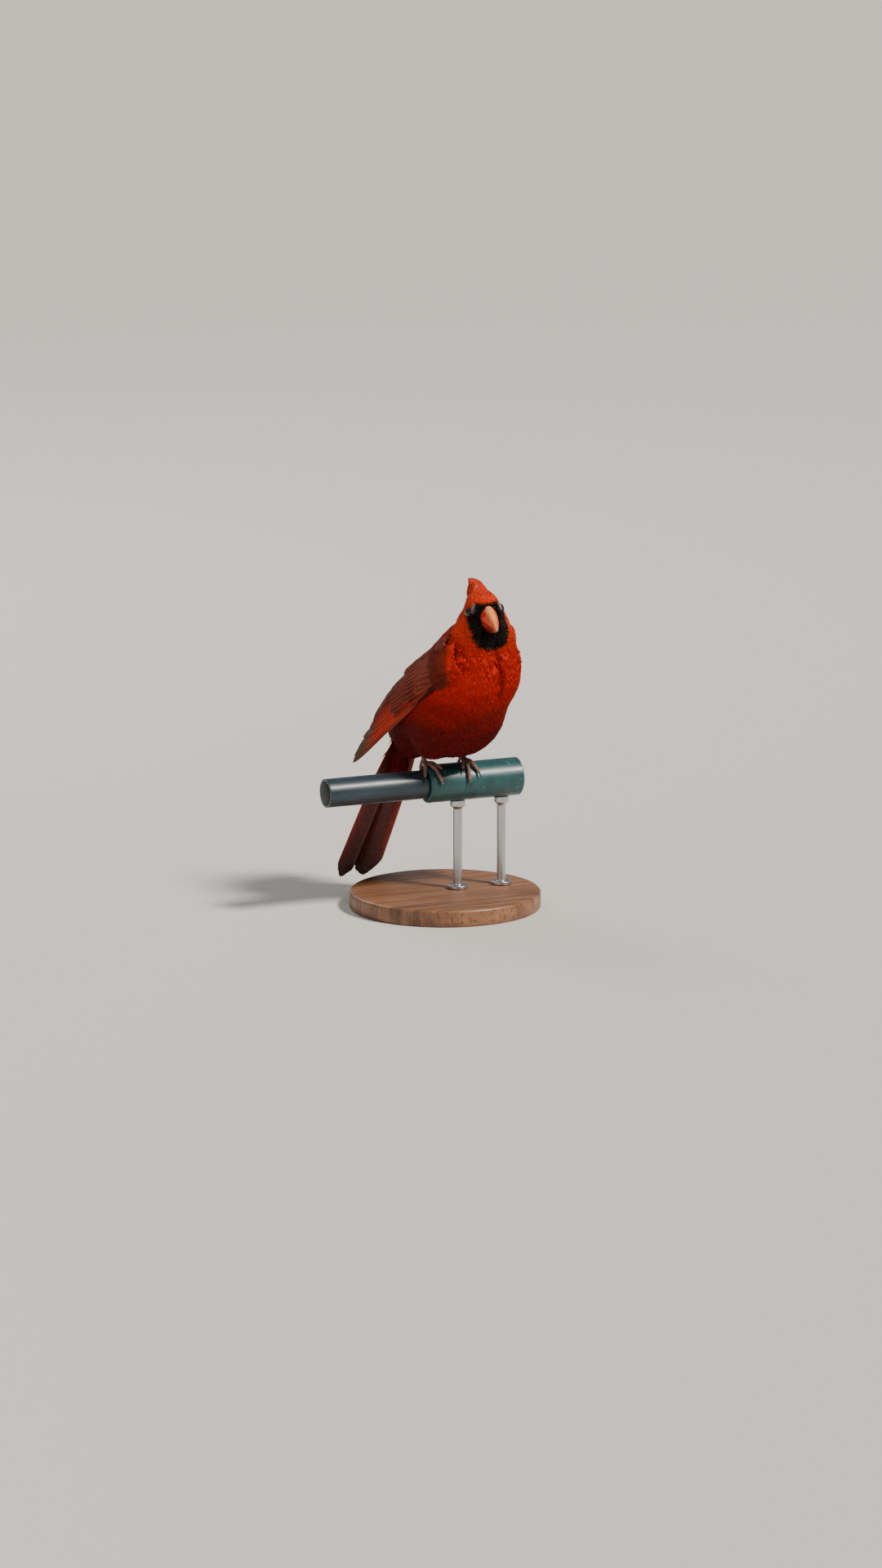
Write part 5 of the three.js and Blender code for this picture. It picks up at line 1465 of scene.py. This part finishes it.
for name, (place_x, angle, lean, toes) in FEET.items():
    parts = []
    for digit, (reach_x, turn_by, claw_length) in enumerate(toes, 1):
        t = np.linspace(0, 1, 7)
        arch = 0.9 * np.sin(np.pi * np.minimum(1, t * 1.15)) ** 2
        rough = on_perch(place_x + reach_x * t**0.8, angle + turn_by * t,
                         TOE_R + arch * 0.6 + 0.5 * (1 - t))
        centre = curve_through(rough, 70)
        plates = 9 if digit == 1 else 11
        mesh, faces, t, a = limb(centre, toe_radius(plates), off_perch(centre))
        parts.append((mesh, faces, foot_ink(t, a, plates)))
        # The claw is a tapered hook that curls down towards the perch.
        t = np.linspace(0, 1, 5)
        away = (0.4 + claw_length * t) / (perch_radius(place_x + reach_x) + 2) * np.sign(turn_by)
        lift = 0.92 + 1.25 * np.sin(np.pi * np.minimum(1, 0.95 * t)) - 0.55 * t
        rough = on_perch(place_x + reach_x * (1 + 0.12 * t), angle + turn_by + np.degrees(away), lift)
        rough = np.concatenate([centre[-8:-7], rough[:1] * 0.5 + centre[-1:] * 0.5, rough[1:]])
        hook = curve_through(rough, 44)
        mesh, faces, t, a = limb(hook, claw_radius, off_perch(hook), 22)
        ink = mixed(SHANK * 0.7, CLAW_DARK, smooth(t, 0.05, 0.35))
        ink = mixed(ink, CLAW_PALE, 0.4 * smooth(-np.cos(a), 0.2, 0.8))
        claw = mesh_piece(f"claw_horn_{name}_{digit}", mesh, faces, claw_horn.material, ink,
                          world=False)
        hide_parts(f"claw_{name}_{digit}")
    # The ball of the foot where the toes meet, and the shank up into the belly's feathers.
    middle = on_perch(np.array(place_x), angle, PAD_R + 0.05)
    mesh, faces = ball(middle, np.array([0, 0, 1.0]), PAD_R * 0.98, 30, 40)
    parts.append((mesh, faces, mixed(SHANK, PAD_PINK, smooth(middle[2] - mesh[:, 2], 0, 1))))
    start = on_perch(np.array(place_x), angle, PAD_R + 0.2)
    rise = np.array([*lean, SHANK_LENGTH])
    shank = start + np.linspace(0, 1, 70)[:, None] * rise
    mesh, faces, t, a = limb(shank, shank_radius, np.tile([0, -1.0, 0], (70, 1)))
    parts.append((mesh, faces, foot_ink(t, a, SHANK_PLATES)))
    points, faces, ink, offset = [], [], [], 0
    for part_points, part_faces, part_ink in parts:
        points.append(part_points)
        faces += [f + offset for f in part_faces]
        ink.append(part_ink)
        offset += len(part_points)
    foot = mesh_piece("foot_skin_" + name, np.concatenate(points), faces, foot_skin.material,
                      np.concatenate(ink), world=False)
    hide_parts("foot_" + name, "leg_" + name)
    # Feathering round the top of the shank, where it comes out of the belly.
    a = 2 * np.pi * spiral(SHANK_FEATHERS)
    rise = unit(rise)
    circle = np.stack([np.cos(a), np.sin(a), 0 * a], -1)
    base = start + rise * (9.5 + 5 * SEED.uniform(0, 1, SHANK_FEATHERS))[:, None]
    base = base + circle * (1.4 + 0.9 * SEED.uniform(0, 1, SHANK_FEATHERS))[:, None]
    way = unit(-rise + circle * 0.12)
    out = unit(circle - way * dot(circle, way))
    home = np.stack([0.4 + 0.02 * np.cos(a) + 0.2 * (name == "left"), 0.05 + 0.02 * np.sin(a)], -1)
    # The belly's red at 0.8, roots at 0.6 of that: partly dusky bases, partly painted shade under the
    # belly.
    tuft_row("shank_feathers_" + name, (base - [0, 0, PERCH_HEIGHT]) @ BIRD_TURN, way @ BIRD_TURN,
             out @ BIRD_TURN, 6.0, 3.4, BELLY_SHADED_RED * 0.8 * 0.6, BELLY_SHADED_RED * 0.8, fan=7, rise=0.3, uv=home)


# Perch: a short length of dark slate tube pushed into a wider dark teal sleeve, both painted and a
# little worn, with a low black plug in each cut end. They are lathed along X.
PERCH_LEFT = -76
TUBE_END = -13.3
SLEEVE_LEFT = -13
PERCH_RIGHT = 46
PLUG_DOME = 1.2
PLUG_SUNK = 1.7
TUBE_SLATE = srgb(34, 52, 62)
TUBE_WORN = srgb(96, 108, 110)
SLEEVE_TEAL = srgb(22, 74, 76)
SLEEVE_WORN = srgb(150, 168, 164)
PLUG_BLACK = srgb(30, 30, 32)
PLUG_GREY = srgb(52, 52, 54)
ON_AXIS = (0, 0, PERCH_HEIGHT)


def lathe(profile, segments, along_x=False, at=(0, 0, 0)):
    """A closed turned shape: each point of a profile of radius and place is carried round the axis
    in a circle, and the first and last ones close its ends."""
    profile = np.array(profile, float)
    ring = profile[1:-1]
    a = 2 * np.pi * np.arange(segments) / segments
    rings = np.stack([ring[:, :1] * np.cos(a), ring[:, :1] * np.sin(a), ring[:, 1:] + 0 * a], -1)
    points, faces = closed_loft(rings)
    points[-2], points[-1] = (0, 0, profile[0, 1]), (0, 0, profile[-1, 1])
    if along_x:
        points = points[:, [2, 0, 1]]
    if profile[-1, 1] < profile[0, 1]:
        faces = [f[:, ::-1] for f in faces]
    return points + np.asarray(at, float), faces


def eased(profile, radius=0.35, steps=5):
    """A profile whose corners are rounded: each is cut back and replaced by a quadratic curve."""
    p = np.array(profile, float)
    out = [p[0]]
    for a, b, c in zip(p[:-2], p[1:-1], p[2:]):
        u, v = (a - b), (c - b)
        lu, lv = np.hypot(*u), np.hypot(*v)
        r = min(radius, 0.45 * lu, 0.45 * lv)
        p0, p1 = b + u / lu * r, b + v / lv * r
        t = np.linspace(0, 1, steps)[:, None]
        out.extend((1 - t) ** 2 * p0 + 2 * t * (1 - t) * b + t**2 * p1)
    out.append(p[-1])
    return out


def dense(profile, spacing):
    """A profile with extra points, evenly set along its long straight runs."""
    p = np.array(profile, float)
    out = [p[0]]
    for a, b in zip(p[:-1], p[1:]):
        n = max(1, int(np.hypot(*(b - a)) / spacing))
        out.extend(a + (b - a) * (k + 1) / n for k in range(n))
    return out


def painted(name, base, worn, worn_share, end, coat):
    """Paint with a soft mottle, fine scratches along the bar and chips that show a paler coat below.
    end gives the cut end's direction and, in metres, where more chips begin and are at their most."""
    look = Look(name, Roughness=0.4, Coat_Weight=coat, Coat_Roughness=0.3)
    mottle = look.noise(160, 4)
    scratch = look.noise(900, 5, stretch=(0.06, 1, 1))
    chips = look.noise(520, 6)
    along = look.add("ShaderNodeSeparateXYZ", {"Vector": look.place()}).outputs["X"]
    near_end = look.ramp(look.maths("MULTIPLY", along, end[0]), (end[1], 0.0), (end[2], 1.0))
    colour = look.mix(base, base * 0.62, look.ramp(mottle, (0.35, 1.0), (0.65, 0.0)))
    colour = look.mix(colour, base * 1.7 + 0.01, look.ramp(scratch, (0.62, 0.0), (0.75, 0.35)))
    chips = look.maths("ADD", chips, look.maths("MULTIPLY", near_end, worn_share))
    flakes = look.ramp(chips, (0.72, 0.0), (0.745, 1.0))
    look.colour(look.mix(colour, worn, flakes))
    look.roughness(look.ramp(scratch, (0.3, 0.34), (0.75, 0.55)))
    fine = look.maths("MULTIPLY", look.noise(2200), 0.3)
    look.bump(look.maths("SUBTRACT", fine, flakes), 0.00008, 0.6)
    return look.material


tube_paint = painted("tube_paint", TUBE_SLATE, TUBE_WORN, 0.04, (-1.0, 0.066, 0.077), 0.25)
tube_shape = [(0, PERCH_LEFT + 2), (6.9, PERCH_LEFT + 2), (6.9, PERCH_LEFT), (TUBE_R, PERCH_LEFT),
              (TUBE_R, TUBE_END), (0, TUBE_END)]
points, faces = lathe(dense(eased(tube_shape), 2.0), 128, True, ON_AXIS)
tube = mesh_piece("perch_bar", points, faces, tube_paint, world=False)
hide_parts("perch_tube")

# The sleeve's wall has shallow dents in a slow sine wave along it.
sleeve_paint = painted("sleeve_paint", SLEEVE_TEAL, SLEEVE_WORN, 0.11, (1.0, 0.03, 0.046), 0.3)
sleeve_shape = [(0, SLEEVE_LEFT), (10.1, SLEEVE_LEFT), (SLEEVE_R, SLEEVE_LEFT + 1),
                (SLEEVE_R, PERCH_RIGHT), (9.1, PERCH_RIGHT), (9.1, PERCH_RIGHT - 2),
                (0, PERCH_RIGHT - 2)]
points, faces = lathe(dense(eased(sleeve_shape, 0.5), 1.5), 144, True, ON_AXIS)
off_axis = points[:, 1:] - ON_AXIS[1:]
dents = 0.06 * np.abs(np.sin(points[:, 0] * 0.33 + 1)) * (np.hypot(*off_axis.T) > 11)
points[:, 1:] -= off_axis * (dents / SLEEVE_R)[:, None]
sleeve = mesh_piece("perch_socket", points, faces, sleeve_paint, world=False)
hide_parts("perch_sleeve")

# Each plug is a short disc with a low dome, a quarter of an ellipse.
plug_look = Look("plug", Roughness=0.62)
mottle = plug_look.ramp(plug_look.noise(700, 4), (0.4, 0.0), (0.7, 1.0))
plug_look.colour(plug_look.mix(PLUG_BLACK, PLUG_GREY, mottle))
plug_look.bump(plug_look.noise(3200), 0.00006, 0.6)
for name, at, r, toward in (("left", PERCH_LEFT, 6.6, -1), ("right", PERCH_RIGHT, 8.8, 1)):
    inside = at - toward * PLUG_SUNK
    dome = [(r * math.cos(v), at + toward * PLUG_DOME * math.sin(v))
            for v in np.linspace(0, np.pi / 2, 14)[:-1]] + [(0, at + toward * PLUG_DOME)]
    shape = [(0, inside), (r - 0.2, inside), (r, at - toward * 1.5)] + dome
    points, faces = lathe(shape, 96, True, ON_AXIS)
    plug = mesh_piece("end_plug_" + name, points, faces, plug_look.material, world=False)
    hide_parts("perch_plug_" + name)


# Stand: a turned disc of oiled wood with an eased edge, and two brushed steel rods, each with a foot
# flange screwed to the disc and a small saddle that holds the perch from below.
DISC_R = 56
DISC_THICK = 10
DISC_EASE = 1.6
WOOD_DARK = srgb(92, 56, 36)
WOOD_LIGHT = srgb(152, 104, 70)
WOOD_PORE = srgb(58, 34, 22)
WOOD_TURN = (0, 0, 0.5)
STEEL = srgb(176, 178, 180)
STEEL_BRIGHT = srgb(206, 207, 208)
ROD_R = 2.6
FLANGE_R = 6
SADDLE_R = 4.4
ROD_PLACES = (8, 36)

wood = Look("stand_wood", Roughness=0.45, Coat_Weight=0.15, Coat_Roughness=0.35)
where = wood.place()
warp, fibre = (wood.add("ShaderNodeMapping", {"Vector": where, "Scale": scale, "Rotation": WOOD_TURN})
               .outputs[0] for scale in ((9.0, 160.0, 30.0), (60.0, 1400.0, 200.0)))
grain = wood.add("ShaderNodeTexNoise", {"Vector": warp, "Scale": 1.6, "Detail": 6.0, "Roughness": 0.6,
                                        "Distortion": 0.5}).outputs[0]
pores = wood.add("ShaderNodeTexNoise", {"Vector": fibre, "Scale": 2.0, "Detail": 3.0}).outputs[0]
colour = wood.mix(WOOD_DARK, WOOD_LIGHT, wood.ramp(grain, (0.32, 0.0), (0.68, 1.0)))
wood.colour(wood.mix(colour, WOOD_PORE, wood.ramp(pores, (0.3, 0.75), (0.46, 0.0))))
wood.roughness(wood.ramp(grain, (0.3, 0.52), (0.7, 0.38)))
wood.bump(pores, 0.00012, 0.4)
rim = [(DISC_R - DISC_EASE + DISC_EASE * math.cos(v), DISC_THICK - DISC_EASE + DISC_EASE * math.sin(v))
       for v in np.linspace(0, np.pi / 2, 12)]
profile = [(0, 0), (DISC_R - 0.8, 0), (DISC_R, 0.8), (DISC_R, 4)] + rim
profile += [(40, DISC_THICK), (20, DISC_THICK), (0, DISC_THICK)]
points, faces = lathe(dense(profile, 6.0), 192)
disc = mesh_piece("stand_disc", points, faces, wood.material, world=False)
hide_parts("stand_base")

# Each rod is lathed in one, and the saddle's top is shaped to the underside of the sleeve, a circle,
# and lies a hair below it.
steel = Look("stand_steel", Metallic=1.0, Roughness=0.28)
brushed = steel.noise(1, 4, stretch=(260, 260, 9000))
steel.colour(steel.mix(STEEL, STEEL_BRIGHT, brushed))
steel.roughness(steel.ramp(brushed, (0.3, 0.22), (0.7, 0.4)))
steel.bump(brushed, 0.00002, 0.4)
top = PERCH_HEIGHT - SLEEVE_R - 0.3
profile = [(0, 10.3), (FLANGE_R, 10.3), (FLANGE_R, 12.3), (ROD_R, 12.3), (ROD_R, top - 4.7),
           (SADDLE_R, top - 2.9), (SADDLE_R, top + 0.9), (0, top + 0.9)]
for number, x in enumerate(ROD_PLACES, 1):
    points, faces = lathe(dense(eased(profile, 0.4), 1.0), 64, at=(x, 0, 0))
    under = PERCH_HEIGHT - np.sqrt(np.maximum((SLEEVE_R + 0.3) ** 2 - points[:, 1] ** 2, 0))
    z = points[:, 2]
    cupped = np.minimum(lerp(z, under, smooth(z, top - 2.0, top + 0.9)), under)
    points[:, 2] = np.where(z > top - 2.0, cupped, z)
    rod = mesh_piece(f"stand_post_{number}", points, faces, steel.material,
                     world=False)
    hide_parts(f"stand_rod_{number}")


# Floor and light: a plain pale floor, a broad soft key from the upper right in front, like high sun,
# and two weak fills.
FLOOR_HALF = 12
FLOOR_PALE = (0.62, 0.6, 0.56)
BIRD_MIDDLE = Vector((0, 0, 0.13))

floor_mesh = bpy.data.meshes.new("floor")
floor_mesh.from_pydata([(x * FLOOR_HALF, y * FLOOR_HALF, 0)
                        for x, y in ((-1, -1), (1, -1), (1, 1), (-1, 1))], [], [(0, 1, 2, 3)])
floor_look = Look("floor", Roughness=0.9)
floor_look.colour(FLOOR_PALE)
floor_mesh.materials.append(floor_look.material)
floor = bpy.data.objects.new("floor", floor_mesh)
bpy.context.scene.collection.objects.link(floor)


def area_light(name, place, size, power, colour):
    """A square soft light at a place in metres, aimed at the bird."""
    lamp = bpy.data.lights.new(name, "AREA")
    lamp.size, lamp.energy, lamp.color = size, power, colour
    holder = bpy.data.objects.new(name, lamp)
    bpy.context.scene.collection.objects.link(holder)
    holder.location = place
    holder.rotation_euler = (Vector(place) - BIRD_MIDDLE).to_track_quat("Z", "Y").to_euler()


sun = bpy.data.lights.new("key", "SUN")
sun.energy, sun.angle, sun.color = 4.9, math.radians(11), (1.0, 0.95, 0.88)
key = bpy.data.objects.new("key", sun)
bpy.context.scene.collection.objects.link(key)
key.rotation_euler = Vector((0.72, -0.92, 1.3)).to_track_quat("Z", "Y").to_euler()
area_light("fill", (-1.4, -0.9, 0.6), 1.2, 4, (0.95, 0.97, 1.0))
area_light("back", (-0.3, 1.4, 1.2), 0.9, 10, (1.0, 0.98, 0.95))
world = bpy.data.worlds.new("studio")
world.use_nodes = True
world.node_tree.nodes["Background"].inputs[0].default_value = (0.8, 0.82, 0.85, 1)
world.node_tree.nodes["Background"].inputs[1].default_value = 0.26
bpy.context.scene.world = world
